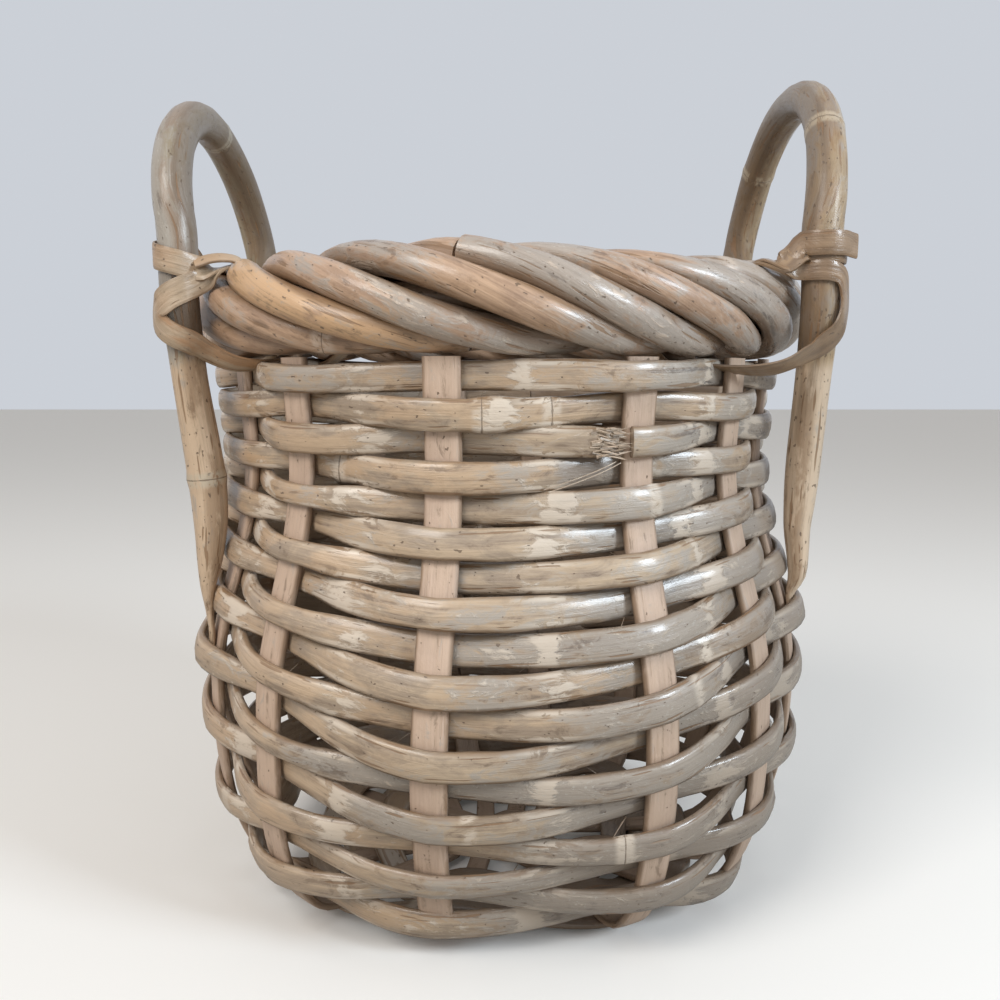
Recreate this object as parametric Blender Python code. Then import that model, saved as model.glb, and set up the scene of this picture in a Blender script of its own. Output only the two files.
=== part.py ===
"""A round rattan onion basket with two fixed hoop handles.

Seven flat strips cross under the floor and turn up as fourteen stakes. Twenty-one flat weavers pass over
and under the stakes, a rope of six canes twisted round a core hoop makes the rim, and each hoop handle has
its two feet tucked behind a weaver and its legs strapped to the rim.

Lengths are in metres, +Z is up, and the basket stands at the origin with its front towards -Y. An azimuth
is an angle about +Z in degrees, 0 at the front and positive towards +X. Weavers count from the rim down.
"""

import math

import bmesh
import bpy
from mathutils import Vector

MM = 0.001
COLLECTION = "onion_basket"

# Body, measured to the middle of the stakes' thickness: its width at the belly, how much less it is at the
# foot and neck, and how much more at the mouth than at the neck
BELLY_RADIUS = 128.5 * MM
FOOT_INSET = 39.5 * MM
NECK_INSET = 16 * MM
MOUTH_FLARE = 2.5 * MM
WALL_TOP = 226.3 * MM
NECK_DROP = 38.3 * MM
BELLY_HEIGHT = 100 * MM
LOWER_WALL_ROUNDNESS = 1.2
BASE_SQUARENESS_SHARE = 0.045
BASE_OVAL_SHARE = 0.04
PROFILE_STEPS = 24
SLOPE_STEP_SHARE = 0.001

# Flat cane
STAKE_WIDTH = 13 * MM
STRIP_CENTRE_WIDTH = 9 * MM
STAKE_THICKNESS = 3.2 * MM
WEAVER_WIDTH = 10.8 * MM
WEAVER_THICKNESS = 3.8 * MM
ROUND_SIDE_SHARE = 0.74
CLEARANCE = 0.4 * MM
WEAVER_GAP = 0.5 * MM
FLAT_OVERHANG = 0.9 * MM

# Strips that cross under the floor
STRIP_PITCH = 14 * MM

# Rim rope: cane thickness, the circle that the canes lie on, and turns of the twist in one round. Each cane
# goes once round, and the half turn left over brings its end to the start of the cane that it butts against
RIM_CANE_DIAMETER = 11.7 * MM
RIM_LAY_RADIUS = 13.05 * MM
CORE_DIAMETER = 12 * MM
RIM_INSET = 3.5 * MM
RIM_GAP = 0.4 * MM
RIM_CANES = 6
TURNS_PER_ROUND = 3.5
POINTS_PER_TURN = 12
CORE_POINTS = 48
CANE_BUTT_GAP = 0.6 * MM
CANE_BUTT_LENGTH = 3 * MM
FIRST_BUTT_AZIMUTH = -6
FIRST_BUTT_LAY_ANGLE = 15

# Handles, which rise to their height above the rim's middle
HANDLE_DIAMETER = 15 * MM
LEG_AZIMUTH = 60
LEFT_HANDLE_RISE = 88.4 * MM
RIGHT_HANDLE_RISE = 97.4 * MM
HANDLE_LEAN = 7 * MM
FOOT_TIP_THICKNESS = 3 * MM
FOOT_TIP_WIDTH = 10.5 * MM
LEG_STANDOFF = 6 * MM
HANDLE_SIDES = 8
ARCH_STEPS = 12

# Straps, of flat cane. Stations on the leg are its turn about the leg, in degrees from the way out towards
# the basket's middle, and a share of the rope's radius above the rim's middle
STRAP_WIDTH = 9.5 * MM
STRAP_THICKNESS = 1.3 * MM
LEG_WRAP_STEP = 66
ROPE_WRAP_STEPS = 16
LOOP_LEG_SHARES = [(90, 0.58), (45, 0.46), (5, 0.16), (5, -0.32), (45, -0.66), (90, -0.8)]
COLLAR_SHARE = 1.14
COLLAR_TURNS = (90, 45, 0, -45, -90)
TAIL_STEPS = (-3, -2, -1, 0)

# Stakes by azimuth at the mouth and at the base, in degrees, starting near the front
STAKE_AZIMUTHS = [
    (-9.8, -15),
    (25, 31.5),
    (49.5, 56),
    (66.5, 77),
    (94, 97),
    (121, 117),
    (147, 141),
    (171, 166),
    (193, 191),
    (217, 216),
    (242, 240),
    (272, 266),
    (299.5, 292),
    (320, 312),
]
DRIFT_POWER = 3

# Each strip joins two stakes. The first group runs front to back, the second left to right.
LONG_STRIPS = [(13, 9), (0, 8), (1, 7), (2, 6)]
CROSS_STRIPS = [(12, 3), (11, 4), (10, 5)]

# Weavers on the wall by their share of the stake's length above the foot, at the front and back, and how
# much further up they lie at the sides
WALL_WEAVER_SHARES = [
    (0.966, 0.004),
    (0.922, 0.010),
    (0.876, 0.018),
    (0.829, 0.027),
    (0.780, 0.038),
    (0.730, 0.050),
    (0.679, 0.063),
    (0.627, 0.076),
    (0.573, 0.090),
    (0.519, 0.104),
    (0.466, 0.116),
    (0.414, 0.124),
    (0.364, 0.116),
    (0.311, 0.103),
    (0.256, 0.084),
    (0.199, 0.064),
    (0.141, 0.042),
    (0.072, 0.020),
]
# Weavers on the floor by their share of the foot's radius
FLOOR_WEAVER_SHARES = [0.925, 0.755, 0.60]

# Handle legs by their side, 1 to the right, and by their front, 1 to the front
LEG_SIGNS = {
    "left_front": (-1, 1),
    "left_back": (-1, -1),
    "right_front": (1, 1),
    "right_back": (1, -1),
}
# Each leg's foot is tucked behind this weaver on the stake nearest to it, or behind the next one down, which
# passes outside that stake if this one passes inside
FOOT_WEAVER = 10
# How far towards the basket's middle each leg's strap passes under the rim, between two stakes
LOW_STRAP_SHIFTS = {
    "left_front": 15 * MM,
    "left_back": 10 * MM,
    "right_front": 9 * MM,
    "right_back": 14 * MM,
}
# Down the leg from full thickness to the foot: share of the taper left, share of the standoff
FOOT_TAPER_SHARES = [(1.0, 1.0), (0.88, 0.75), (0.62, 0.4), (0.32, 0.0)]

COLOURS = {
    "stake": (0.60, 0.45, 0.31),
    "weaver": (0.46, 0.37, 0.26),
    "rim": (0.45, 0.33, 0.22),
    "handle": (0.47, 0.38, 0.25),
    "strap": (0.43, 0.31, 0.19),
}
CANE_ROUGHNESS = 0.5

# Derived sizes
FULL_TURN = 360
FOOT_RADIUS = BELLY_RADIUS - FOOT_INSET
NECK_RADIUS = BELLY_RADIUS - NECK_INSET
MOUTH_RADIUS = NECK_RADIUS + MOUTH_FLARE
NECK_HEIGHT = WALL_TOP - NECK_DROP
HANDLE_RADIUS = HANDLE_DIAMETER / 2
HALF_STAKE = STAKE_THICKNESS / 2
WEAVE_OFFSET = HALF_STAKE + CLEARANCE + WEAVER_THICKNESS / 2
FLOOR_LEVEL = WEAVE_OFFSET + WEAVER_THICKNESS / 2
ROPE_RADIUS = RIM_LAY_RADIUS + RIM_CANE_DIAMETER / 2
STRAP_SEAT = CLEARANCE + STRAP_THICKNESS / 2
ROPE_WRAP_STEP = FULL_TURN / ROPE_WRAP_STEPS
STRAP_SHIFT = HANDLE_RADIUS + CLEARANCE + STRAP_WIDTH / 2
RIM_RADIUS = MOUTH_RADIUS - RIM_INSET
RIM_HEIGHT = WALL_TOP + RIM_GAP + ROPE_RADIUS
LEG_RADIUS = RIM_RADIUS + ROPE_RADIUS + CLEARANCE + HANDLE_RADIUS
COLLAR_HEIGHT = RIM_HEIGHT + COLLAR_SHARE * ROPE_RADIUS
SPRING_HEIGHT = COLLAR_HEIGHT + STRAP_WIDTH / 2 + CLEARANCE
UP = Vector((0, 0, 1))


def outward(azimuth):
    """Unit vector from the axis towards an azimuth."""
    turn = math.radians(azimuth)
    return Vector((math.sin(turn), -math.cos(turn), 0))


def along_wall(azimuth):
    """Unit vector round the basket, towards a growing azimuth."""
    turn = math.radians(azimuth)
    return Vector((math.cos(turn), math.sin(turn), 0))


def ease(share):
    """0 to 1 with a level start and end."""
    return (1 - math.cos(math.pi * share)) / 2


def profile_points():
    """(radius, height) up the middle of a stake, from the edge of the flat floor to the rim."""
    points = []
    for step in range(PROFILE_STEPS + 1):
        angle = math.pi / 2 * step / PROFILE_STEPS
        radius = FOOT_RADIUS + (BELLY_RADIUS - FOOT_RADIUS) * math.sin(angle) ** LOWER_WALL_ROUNDNESS
        height = FLOOR_LEVEL + (BELLY_HEIGHT - FLOOR_LEVEL) * (1 - math.cos(angle))
        points.append((radius, height))
    for step in range(1, PROFILE_STEPS + 1):
        share = step / PROFILE_STEPS
        radius = BELLY_RADIUS + (NECK_RADIUS - BELLY_RADIUS) * ease(share)
        points.append((radius, BELLY_HEIGHT + (NECK_HEIGHT - BELLY_HEIGHT) * share))
    for step in range(1, PROFILE_STEPS + 1):
        share = step / PROFILE_STEPS
        radius = NECK_RADIUS + (MOUTH_RADIUS - NECK_RADIUS) * ease(share)
        points.append((radius, NECK_HEIGHT + (WALL_TOP - NECK_HEIGHT) * share))
    return points


def running_lengths(points):
    """Length along a line of (radius, height) points, up to each point."""
    lengths = [0.0]
    for (r0, z0), (r1, z1) in zip(points, points[1:]):
        lengths.append(lengths[-1] + math.hypot(r1 - r0, z1 - z0))
    return lengths


PROFILE = profile_points()
PROFILE_LENGTHS = running_lengths(PROFILE)
WALL_LENGTH = PROFILE_LENGTHS[-1]


def profile_at(share):
    """(radius, height) at a share of the wall's length. Below 0 it is on the flat floor."""
    if share <= 0:
        return FOOT_RADIUS + share * WALL_LENGTH, FLOOR_LEVEL
    target = min(share, 1) * WALL_LENGTH
    after = next(i for i, length in enumerate(PROFILE_LENGTHS) if length >= target)
    after = max(after, 1)
    before = after - 1
    part = (target - PROFILE_LENGTHS[before]) / (PROFILE_LENGTHS[after] - PROFILE_LENGTHS[before])
    r0, z0 = PROFILE[before]
    r1, z1 = PROFILE[after]
    return r0 + (r1 - r0) * part, z0 + (z1 - z0) * part


def squareness(azimuth, height):
    """The base is a rounded square, a little wider than deep, and the belly and mouth are round."""
    turn = math.radians(azimuth)
    weight = ease(max(0.0, 1 - (height - FLOOR_LEVEL) / (BELLY_HEIGHT - FLOOR_LEVEL)))
    shape = BASE_SQUARENESS_SHARE * math.cos(4 * turn) + BASE_OVAL_SHARE * math.cos(2 * turn)
    return 1 - weight * shape


def wall_point(share, azimuth):
    """A point on the middle surface of the stakes."""
    radius, height = profile_at(share)
    return outward(azimuth) * radius * squareness(azimuth, height) + UP * height


def stake_azimuth(stake, share):
    """A stake's azimuth at a share of the wall: it fans out towards the base's corners."""
    mouth, base = STAKE_AZIMUTHS[stake]
    low = (1 - min(max(share, 0), 1)) ** DRIFT_POWER
    return mouth + (base - mouth) * low


def weaver_share(weaver, azimuth):
    """Where a weaver, counted from 1, crosses a stake of that azimuth."""
    if weaver > len(WALL_WEAVER_SHARES):
        radius = FLOOR_WEAVER_SHARES[weaver - len(WALL_WEAVER_SHARES) - 1] * FOOT_RADIUS
        return (radius - FOOT_RADIUS) / WALL_LENGTH
    front, lift = WALL_WEAVER_SHARES[weaver - 1]
    return front + lift * math.sin(math.radians(azimuth)) ** 2


WEAVERS = len(WALL_WEAVER_SHARES) + len(FLOOR_WEAVER_SHARES)
STAKES = len(STAKE_AZIMUTHS)


def breaks_of(stake):
    """Shares of the wall where a stake's flats meet: one flat behind each weaver, top first."""
    mouth, base = STAKE_AZIMUTHS[stake]
    crossings = []
    for weaver in range(1, WEAVERS + 1):
        azimuth = mouth if weaver <= len(WALL_WEAVER_SHARES) else base
        crossings.append(weaver_share(weaver, azimuth))
    middles = [(a + b) / 2 for a, b in zip(crossings, crossings[1:])]
    last_pitch = crossings[-2] - crossings[-1]
    return crossings, [1.0] + middles + [crossings[-1] - last_pitch / 2]


class Crossing:
    """The flat of one stake behind one weaver."""

    def __init__(self, stake, weaver):
        crossings, breaks = breaks_of(stake)
        top, bottom, here = breaks[weaver - 1], breaks[weaver], crossings[weaver - 1]
        azimuth = stake_azimuth(stake, here)
        upper = wall_point(top, stake_azimuth(stake, top))
        lower = wall_point(bottom, stake_azimuth(stake, bottom))
        self.centre = lower.lerp(upper, (here - bottom) / (top - bottom))
        self.side = along_wall(azimuth)
        rise = (upper - lower).normalized()
        self.normal = self.side.cross(rise).normalized()
        self.rise = self.normal.cross(self.side).normalized()
        self.room = 2 * min(top - here, here - bottom) * WALL_LENGTH
        self.half_flat = stake_width(here) / 2 + FLAT_OVERHANG


def stake_width(share):
    """Full width on the wall, narrowing over the floor towards the crossing strips."""
    if share >= 0:
        return STAKE_WIDTH
    inner = FLOOR_WEAVER_SHARES[-1] * FOOT_RADIUS
    part = min(1, -share * WALL_LENGTH / (FOOT_RADIUS - inner))
    return STAKE_WIDTH + (STRIP_CENTRE_WIDTH - STAKE_WIDTH) * part


def flat_section(centre, across, normal, width, thickness):
    """Four corners of flat cane, flat on its inner side and narrower on its outer side."""
    corners = ((-1, -1), (1, -1), (ROUND_SIDE_SHARE, 1), (-ROUND_SIDE_SHARE, 1))
    return [centre + across * (a * width / 2) + normal * (b * thickness / 2) for a, b in corners]


def loft(name, sections, closed, kind):
    """A solid through sections with the same number of corners, as a ring or with flat ends."""
    mesh = bmesh.new()
    rings = [[mesh.verts.new(point) for point in section] for section in sections]
    sides = len(rings[0])
    pairs = list(zip(rings, rings[1:]))
    if closed:
        pairs.append((rings[-1], rings[0]))
    for ring, following in pairs:
        for i in range(sides):
            j = (i + 1) % sides
            mesh.faces.new((ring[i], ring[j], following[j], following[i]))
    if not closed:
        mesh.faces.new(rings[0])
        mesh.faces.new(rings[-1])
    bmesh.ops.recalc_face_normals(mesh, faces=mesh.faces)
    data = bpy.data.meshes.new(name)
    mesh.to_mesh(data)
    mesh.free()
    return place(name, data, kind)


def place(name, data, kind):
    """Adds an object to the basket's collection with the material of its kind."""
    obj = bpy.data.objects.new(name, data)
    data.materials.append(material(kind))
    bpy.data.collections[COLLECTION].objects.link(obj)
    return obj


def material(kind):
    """One Principled material for each kind of cane."""
    found = bpy.data.materials.get(kind)
    if found:
        return found
    made = bpy.data.materials.new(kind)
    made.use_nodes = True
    shader = made.node_tree.nodes["Principled BSDF"]
    shader.inputs["Base Color"].default_value = (*COLOURS[kind], 1)
    shader.inputs["Roughness"].default_value = CANE_ROUGHNESS
    return made


def stake_sections(stake):
    """One stake from its top end under the rim down to the inner edge of the floor weavers."""
    sections = []
    for share in breaks_of(stake)[1]:
        azimuth = stake_azimuth(stake, share)
        upper = min(share + SLOPE_STEP_SHARE, 1)
        rise = wall_point(upper, azimuth) - wall_point(upper - 2 * SLOPE_STEP_SHARE, azimuth)
        side = along_wall(azimuth)
        normal = side.cross(rise).normalized()
        centre = wall_point(share, azimuth)
        sections.append(flat_section(centre, side, normal, stake_width(share), STAKE_THICKNESS))
    return sections


def crossing_sections(line, places, level, along, across):
    """The middle of a strip, which passes over and under the strips that it crosses."""
    sections = []
    half_flat = STRIP_CENTRE_WIDTH / 2 + FLAT_OVERHANG
    lift = HALF_STAKE + CLEARANCE / 2
    for count, place_along in enumerate(places):
        height = FLOOR_LEVEL + (lift if (count + level) % 2 else -lift)
        for offset in (-half_flat, half_flat):
            centre = along * (place_along + offset) + across * line + UP * height
            sections.append(flat_section(centre, across, -UP, STRIP_CENTRE_WIDTH, STAKE_THICKNESS))
    return sections


def spread(count):
    """Evenly pitched places about zero for the strips of one group."""
    return [(i - (count - 1) / 2) * STRIP_PITCH for i in range(count)]


def strip(name, first, last, middle):
    """A strip from the top of one stake, down and across the floor, and up as another stake."""
    up = []
    for right, left, outer_left, outer_right in stake_sections(last)[::-1]:
        up.append([left, right, outer_right, outer_left])
    return loft(name, stake_sections(first) + middle + up, False, "stake")


def make_strips():
    across_places = spread(len(CROSS_STRIPS))
    long_places = spread(len(LONG_STRIPS))
    front_to_back, left_to_right = Vector((0, 1, 0)), Vector((1, 0, 0))
    for i, (front, back) in enumerate(LONG_STRIPS):
        middle = crossing_sections(long_places[i], across_places, i, front_to_back, left_to_right)
        strip(f"stake_strip_long_{i + 1}", front, back, middle)
    for i, (left, right) in enumerate(CROSS_STRIPS):
        middle = crossing_sections(-across_places[i], long_places, i + 1, left_to_right, -front_to_back)
        strip(f"stake_strip_cross_{i + 1}", left, right, middle)


def leg_azimuth(leg):
    """Azimuth of a leg at the rim."""
    side, front = LEG_SIGNS[leg]
    return side * (LEG_AZIMUTH if front > 0 else FULL_TURN / 2 - LEG_AZIMUTH)


def angle_between(azimuth, other):
    """The smaller angle from one azimuth to another."""
    return abs((azimuth - other + FULL_TURN / 2) % FULL_TURN - FULL_TURN / 2)


def is_outside(weaver, stake):
    """A weaver passes outside every other stake, and each weaver starts one stake on from the last."""
    return (stake + weaver) % 2 == 0


def host_of(leg):
    """The stake and the weaver that hold a leg's foot between them."""
    at_leg = leg_azimuth(leg)
    stake = min(range(STAKES), key=lambda i: angle_between(STAKE_AZIMUTHS[i][0], at_leg))
    return stake, FOOT_WEAVER if is_outside(FOOT_WEAVER, stake) else FOOT_WEAVER + 1


def hosted(stake, weaver):
    """Whether a handle's foot is tucked between this stake and this weaver."""
    return any((stake, weaver) == host_of(leg) for leg in LEG_SIGNS)


def weaver_sections(weaver):
    """A weaver round the basket: outside one stake, inside the next."""
    sections = []
    for stake in range(STAKES):
        crossing = Crossing(stake, weaver)
        offset = WEAVE_OFFSET if is_outside(weaver, stake) else -WEAVE_OFFSET
        if hosted(stake, weaver):
            offset += FOOT_TIP_THICKNESS + CLEARANCE
        width = min(WEAVER_WIDTH, crossing.room - WEAVER_GAP)
        for lean in (-crossing.half_flat, crossing.half_flat):
            centre = crossing.centre + crossing.side * lean + crossing.normal * offset
            section = flat_section(centre, crossing.rise, crossing.normal, width, WEAVER_THICKNESS)
            sections.append(section)
    return sections


def make_weavers():
    for weaver in range(1, WEAVERS + 1):
        place_name = "wall" if weaver <= len(WALL_WEAVER_SHARES) else "floor"
        loft(f"weaver_{weaver:02d}_{place_name}", weaver_sections(weaver), True, "weaver")


def tube(name, points, diameter, closed, kind):
    """Round cane along a line of points."""
    data = bpy.data.curves.new(name, "CURVE")
    data.dimensions = "3D"
    data.bevel_depth = diameter / 2
    data.bevel_resolution = 2
    data.use_fill_caps = not closed
    spline = data.splines.new("POLY")
    spline.points.add(len(points) - 1)
    for slot, point in zip(spline.points, points):
        slot.co = (*point, 1)
    spline.use_cyclic_u = closed
    return place(name, data, kind)


def rope_point(azimuth, lay_angle, lay_radius):
    """A point in the rim rope: the lay angle is 0 at the top and 90 degrees at the outer side."""
    angle = math.radians(lay_angle)
    radius = RIM_RADIUS + lay_radius * math.sin(angle)
    return outward(azimuth) * radius + UP * (RIM_HEIGHT + lay_radius * math.cos(angle))


def make_rim():
    core = [rope_point(FULL_TURN * i / CORE_POINTS, 0, 0) for i in range(CORE_POINTS)]
    tube("rim_core", core, CORE_DIAMETER, True, "rim")
    butts = RIM_CANES // 2
    steps = round(TURNS_PER_ROUND * POINTS_PER_TURN)
    half_gap = math.degrees(CANE_BUTT_GAP / RIM_RADIUS) / 2
    square_end = half_gap + math.degrees(CANE_BUTT_LENGTH / RIM_RADIUS)
    travels = [half_gap, square_end]
    travels += [FULL_TURN * step / steps for step in range(1, steps)]
    travels += [FULL_TURN - square_end, FULL_TURN - half_gap]
    for cane in range(RIM_CANES):
        first_azimuth = FIRST_BUTT_AZIMUTH + FULL_TURN * cane / butts
        twist = TURNS_PER_ROUND * (first_azimuth - FIRST_BUTT_AZIMUTH)
        first_angle = FIRST_BUTT_LAY_ANGLE + twist + FULL_TURN * (cane % butts) / RIM_CANES
        points = []
        for travel in travels:
            lay_angle = first_angle + TURNS_PER_ROUND * travel
            points.append(rope_point(first_azimuth + travel, lay_angle, RIM_LAY_RADIUS))
        tube(f"rim_cane_{cane + 1}", points, RIM_CANE_DIAMETER, False, "rim")


def round_section(centre, travel, thick, half_thick, half_wide):
    """Corners of a round or flattened cane, square to its travel."""
    forward = travel.normalized()
    out = (thick - forward * thick.dot(forward)).normalized()
    aside = forward.cross(out)
    corners = []
    for i in range(HANDLE_SIDES):
        angle = 2 * math.pi * (i + 0.5) / HANDLE_SIDES
        corners.append(centre + out * (half_thick * math.cos(angle)) + aside * (half_wide * math.sin(angle)))
    return corners


def leg_centre(leg, low, height):
    """Centre of a leg at a height: it slants from its low end to the rim, and is upright above."""
    at_rim = outward(leg_azimuth(leg)) * LEG_RADIUS
    centre = low.lerp(at_rim, min(1, (height - low.z) / (RIM_HEIGHT - low.z)))
    centre.z = height
    return centre


def leg_line(leg):
    """From the tip of a handle's foot up to the rim: centre, way out, half thickness and half width."""
    host, weaver = host_of(leg)
    breaks = breaks_of(host)[1]
    line = []
    behind = HALF_STAKE + CLEARANCE
    clear = behind + WEAVER_THICKNESS + CLEARANCE
    flat = Crossing(host, weaver)
    tip_ends = (flat.room / 2, -flat.room / 2)
    for end in tip_ends:
        centre = flat.centre - flat.rise * end + flat.normal * (behind + FOOT_TIP_THICKNESS / 2)
        line.append((centre, flat.normal, FOOT_TIP_THICKNESS / 2, FOOT_TIP_WIDTH / 2))
    for count, (thick_share, standoff_share) in enumerate(FOOT_TAPER_SHARES[::-1]):
        share = breaks[weaver - 2 - count]
        azimuth = stake_azimuth(host, share)
        thickness = FOOT_TIP_THICKNESS + (HANDLE_DIAMETER - FOOT_TIP_THICKNESS) * thick_share
        width = FOOT_TIP_WIDTH + (HANDLE_DIAMETER - FOOT_TIP_WIDTH) * thick_share
        out = outward(azimuth)
        centre = wall_point(share, azimuth) + out * (clear + LEG_STANDOFF * standoff_share + thickness / 2)
        line.append((centre, out, thickness / 2, width / 2))
    low = line[-1][0]
    for height in (WALL_TOP, RIM_HEIGHT, SPRING_HEIGHT):
        centre = leg_centre(leg, low, height)
        line.append((centre, outward(leg_azimuth(leg)), HANDLE_RADIUS, HANDLE_RADIUS))
    return line


def make_handle(name, side, rise_above_rim):
    """A hoop handle from its front foot, over the arch, to its back foot."""
    front = leg_line(f"{name}_front")
    back = leg_line(f"{name}_back")
    spring = front[-1][0]
    rise = RIM_HEIGHT + rise_above_rim - HANDLE_RADIUS - spring.z
    arch = []
    for step in range(1, ARCH_STEPS):
        angle = math.pi * step / ARCH_STEPS
        x = spring.x + side * HANDLE_LEAN * math.sin(angle)
        y = spring.y * math.cos(angle)
        z = spring.z + rise * math.sin(angle)
        arch.append((Vector((x, y, z)), Vector((side, 0, 0)), HANDLE_RADIUS, HANDLE_RADIUS))
    line = front + arch + back[::-1]
    sections = []
    for i, (centre, out, half_thick, half_wide) in enumerate(line):
        travel = line[min(i + 1, len(line) - 1)][0] - line[max(i - 1, 0)][0]
        sections.append(round_section(centre, travel, out, half_thick, half_wide))
    loft(f"handle_{name}", sections, False, "handle")


def strap(name, stations, closed):
    """Flat cane through stations, each a place and the way out of what the strap lies on there."""
    count = len(stations)
    sections = []
    for i, (centre, out) in enumerate(stations):
        before = stations[i - 1][0] if closed or i else centre
        after = stations[(i + 1) % count][0] if closed or i < count - 1 else centre
        travel = (after - before).normalized()
        normal = (out - travel * out.dot(travel)).normalized()
        across = travel.cross(normal)
        half_width, half_thick = STRAP_WIDTH / 2, STRAP_THICKNESS / 2
        corners = ((-1, -1), (1, -1), (1, 1), (-1, 1))
        sections.append([centre + across * (a * half_width) + normal * (b * half_thick) for a, b in corners])
    return loft(name, sections, closed, "strap")


def rope_station(leg, shift, lay_angle, layer):
    """On the rim rope, shifted from the leg towards the basket's middle, on the first or second layer."""
    side, front = LEG_SIGNS[leg]
    azimuth = leg_azimuth(leg) - side * front * math.degrees(shift / RIM_RADIUS)
    reach = ROPE_RADIUS + STRAP_SEAT + layer * (STRAP_THICKNESS + CLEARANCE)
    reach /= math.cos(math.radians(ROPE_WRAP_STEP / 2))
    centre = rope_point(azimuth, 0, 0)
    place_on_rope = rope_point(azimuth, lay_angle, reach)
    return place_on_rope, (place_on_rope - centre).normalized()


def leg_station(leg, turn, height):
    """On the outside of a leg, turned from the way out towards the basket's middle."""
    side, front = LEG_SIGNS[leg]
    azimuth = leg_azimuth(leg)
    towards_middle = along_wall(azimuth) * (-side * front)
    low = leg_line(leg)[len(FOOT_TAPER_SHARES) + 1][0]
    angle = math.radians(turn)
    normal = outward(azimuth) * math.cos(angle) + towards_middle * math.sin(angle)
    reach = (HANDLE_RADIUS + STRAP_SEAT) / math.cos(math.radians(LEG_WRAP_STEP / 2))
    return leg_centre(leg, low, height) + normal * reach, normal


def make_rim_strap(leg):
    """The strap round a leg and the rim rope: over the rope, round the leg's outside, and back below it."""
    low_shift = LOW_STRAP_SHIFTS[leg]
    stations = [rope_station(leg, STRAP_SHIFT, ROPE_WRAP_STEP * i, 0) for i in range(3)]
    for turn, height_share in LOOP_LEG_SHARES:
        stations.append(leg_station(leg, turn, RIM_HEIGHT + height_share * ROPE_RADIUS))
    bottom = ROPE_WRAP_STEPS // 2
    for i in range(bottom - 2, ROPE_WRAP_STEPS):
        part = max(0, (i - bottom) / (ROPE_WRAP_STEPS - 1 - bottom))
        shift = low_shift + (STRAP_SHIFT - low_shift) * part
        stations.append(rope_station(leg, shift, ROPE_WRAP_STEP * i, 0))
    strap(f"rim_strap_{leg}", stations, True)


def make_collar_strap(leg):
    """The strap round a leg above the rim, with both ends laid over the rope and down inside it."""
    tail = [rope_station(leg, STRAP_SHIFT, ROPE_WRAP_STEP * i, 1) for i in TAIL_STEPS]
    other_tail = [rope_station(leg, -STRAP_SHIFT, ROPE_WRAP_STEP * i, 0) for i in TAIL_STEPS]
    round_leg = [leg_station(leg, turn, COLLAR_HEIGHT) for turn in COLLAR_TURNS]
    strap(f"collar_strap_{leg}", tail + round_leg + other_tail[::-1], False)


def main():
    for obj in list(bpy.data.objects):
        bpy.data.objects.remove(obj)
    basket = bpy.data.collections.new(COLLECTION)
    bpy.context.scene.collection.children.link(basket)
    make_strips()
    make_weavers()
    make_rim()
    make_handle("left", -1, LEFT_HANDLE_RISE)
    make_handle("right", 1, RIGHT_HANDLE_RISE)
    for leg in LEG_SIGNS:
        make_rim_strap(leg)
        make_collar_strap(leg)


main()
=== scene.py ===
import math
import random

import bpy
import numpy as np
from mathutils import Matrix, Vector


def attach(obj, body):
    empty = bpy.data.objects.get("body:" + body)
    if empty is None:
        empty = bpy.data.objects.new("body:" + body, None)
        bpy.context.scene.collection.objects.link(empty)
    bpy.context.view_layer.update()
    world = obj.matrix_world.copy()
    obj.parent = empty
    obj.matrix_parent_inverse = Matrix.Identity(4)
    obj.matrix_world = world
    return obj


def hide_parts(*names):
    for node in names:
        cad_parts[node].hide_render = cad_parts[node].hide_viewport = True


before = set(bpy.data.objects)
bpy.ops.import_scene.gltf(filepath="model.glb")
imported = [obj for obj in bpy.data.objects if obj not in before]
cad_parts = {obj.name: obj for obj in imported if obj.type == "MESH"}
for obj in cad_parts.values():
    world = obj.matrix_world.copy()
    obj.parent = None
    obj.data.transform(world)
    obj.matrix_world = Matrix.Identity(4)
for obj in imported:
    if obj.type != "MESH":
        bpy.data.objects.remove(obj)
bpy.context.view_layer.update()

# The basket's finish: woven rattan rows over flat stakes, a twisted rim, hoop handles and their lashings.
# Lengths are metres. An azimuth is in degrees about +Z, 0 at the front and positive towards +X.

MM = 0.001
BODY = "root"
FULL_TURN = 360
HALF_TURN = 180
UP = Vector((0, 0, 1))

# Body, as in the part
BELLY_RADIUS = 128.5 * MM
FOOT_RADIUS = 89 * MM
NECK_RADIUS = 112.5 * MM
MOUTH_RADIUS = 115 * MM
WALL_TOP = 226.3 * MM
NECK_HEIGHT = 188 * MM
BELLY_HEIGHT = 100 * MM
LOWER_WALL_ROUNDNESS = 1.2
BASE_SQUARENESS_SHARE = 0.045
BASE_OVAL_SHARE = 0.04
PROFILE_STEPS = 24
SLOPE_STEP_SHARE = 0.001

# Flat cane
STAKE_WIDTH = 13 * MM
STRIP_CENTRE_WIDTH = 9 * MM
STAKE_THICKNESS = 3.2 * MM
WEAVER_THICKNESS = 3.8 * MM
CLEARANCE = 0.4 * MM
STRIP_PITCH = 14 * MM

# Rim rope
RIM_CANE_DIAMETER = 11.7 * MM
RIM_LAY_RADIUS = 13.05 * MM
CORE_DIAMETER = 12 * MM
RIM_INSET = 3.5 * MM
RIM_GAP = 0.4 * MM
RIM_CANES = 6
TURNS_PER_ROUND = 3.5
CANE_BUTT_GAP = 0.6 * MM
FIRST_BUTT_AZIMUTH = -6
FIRST_BUTT_LAY_ANGLE = 15

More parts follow.
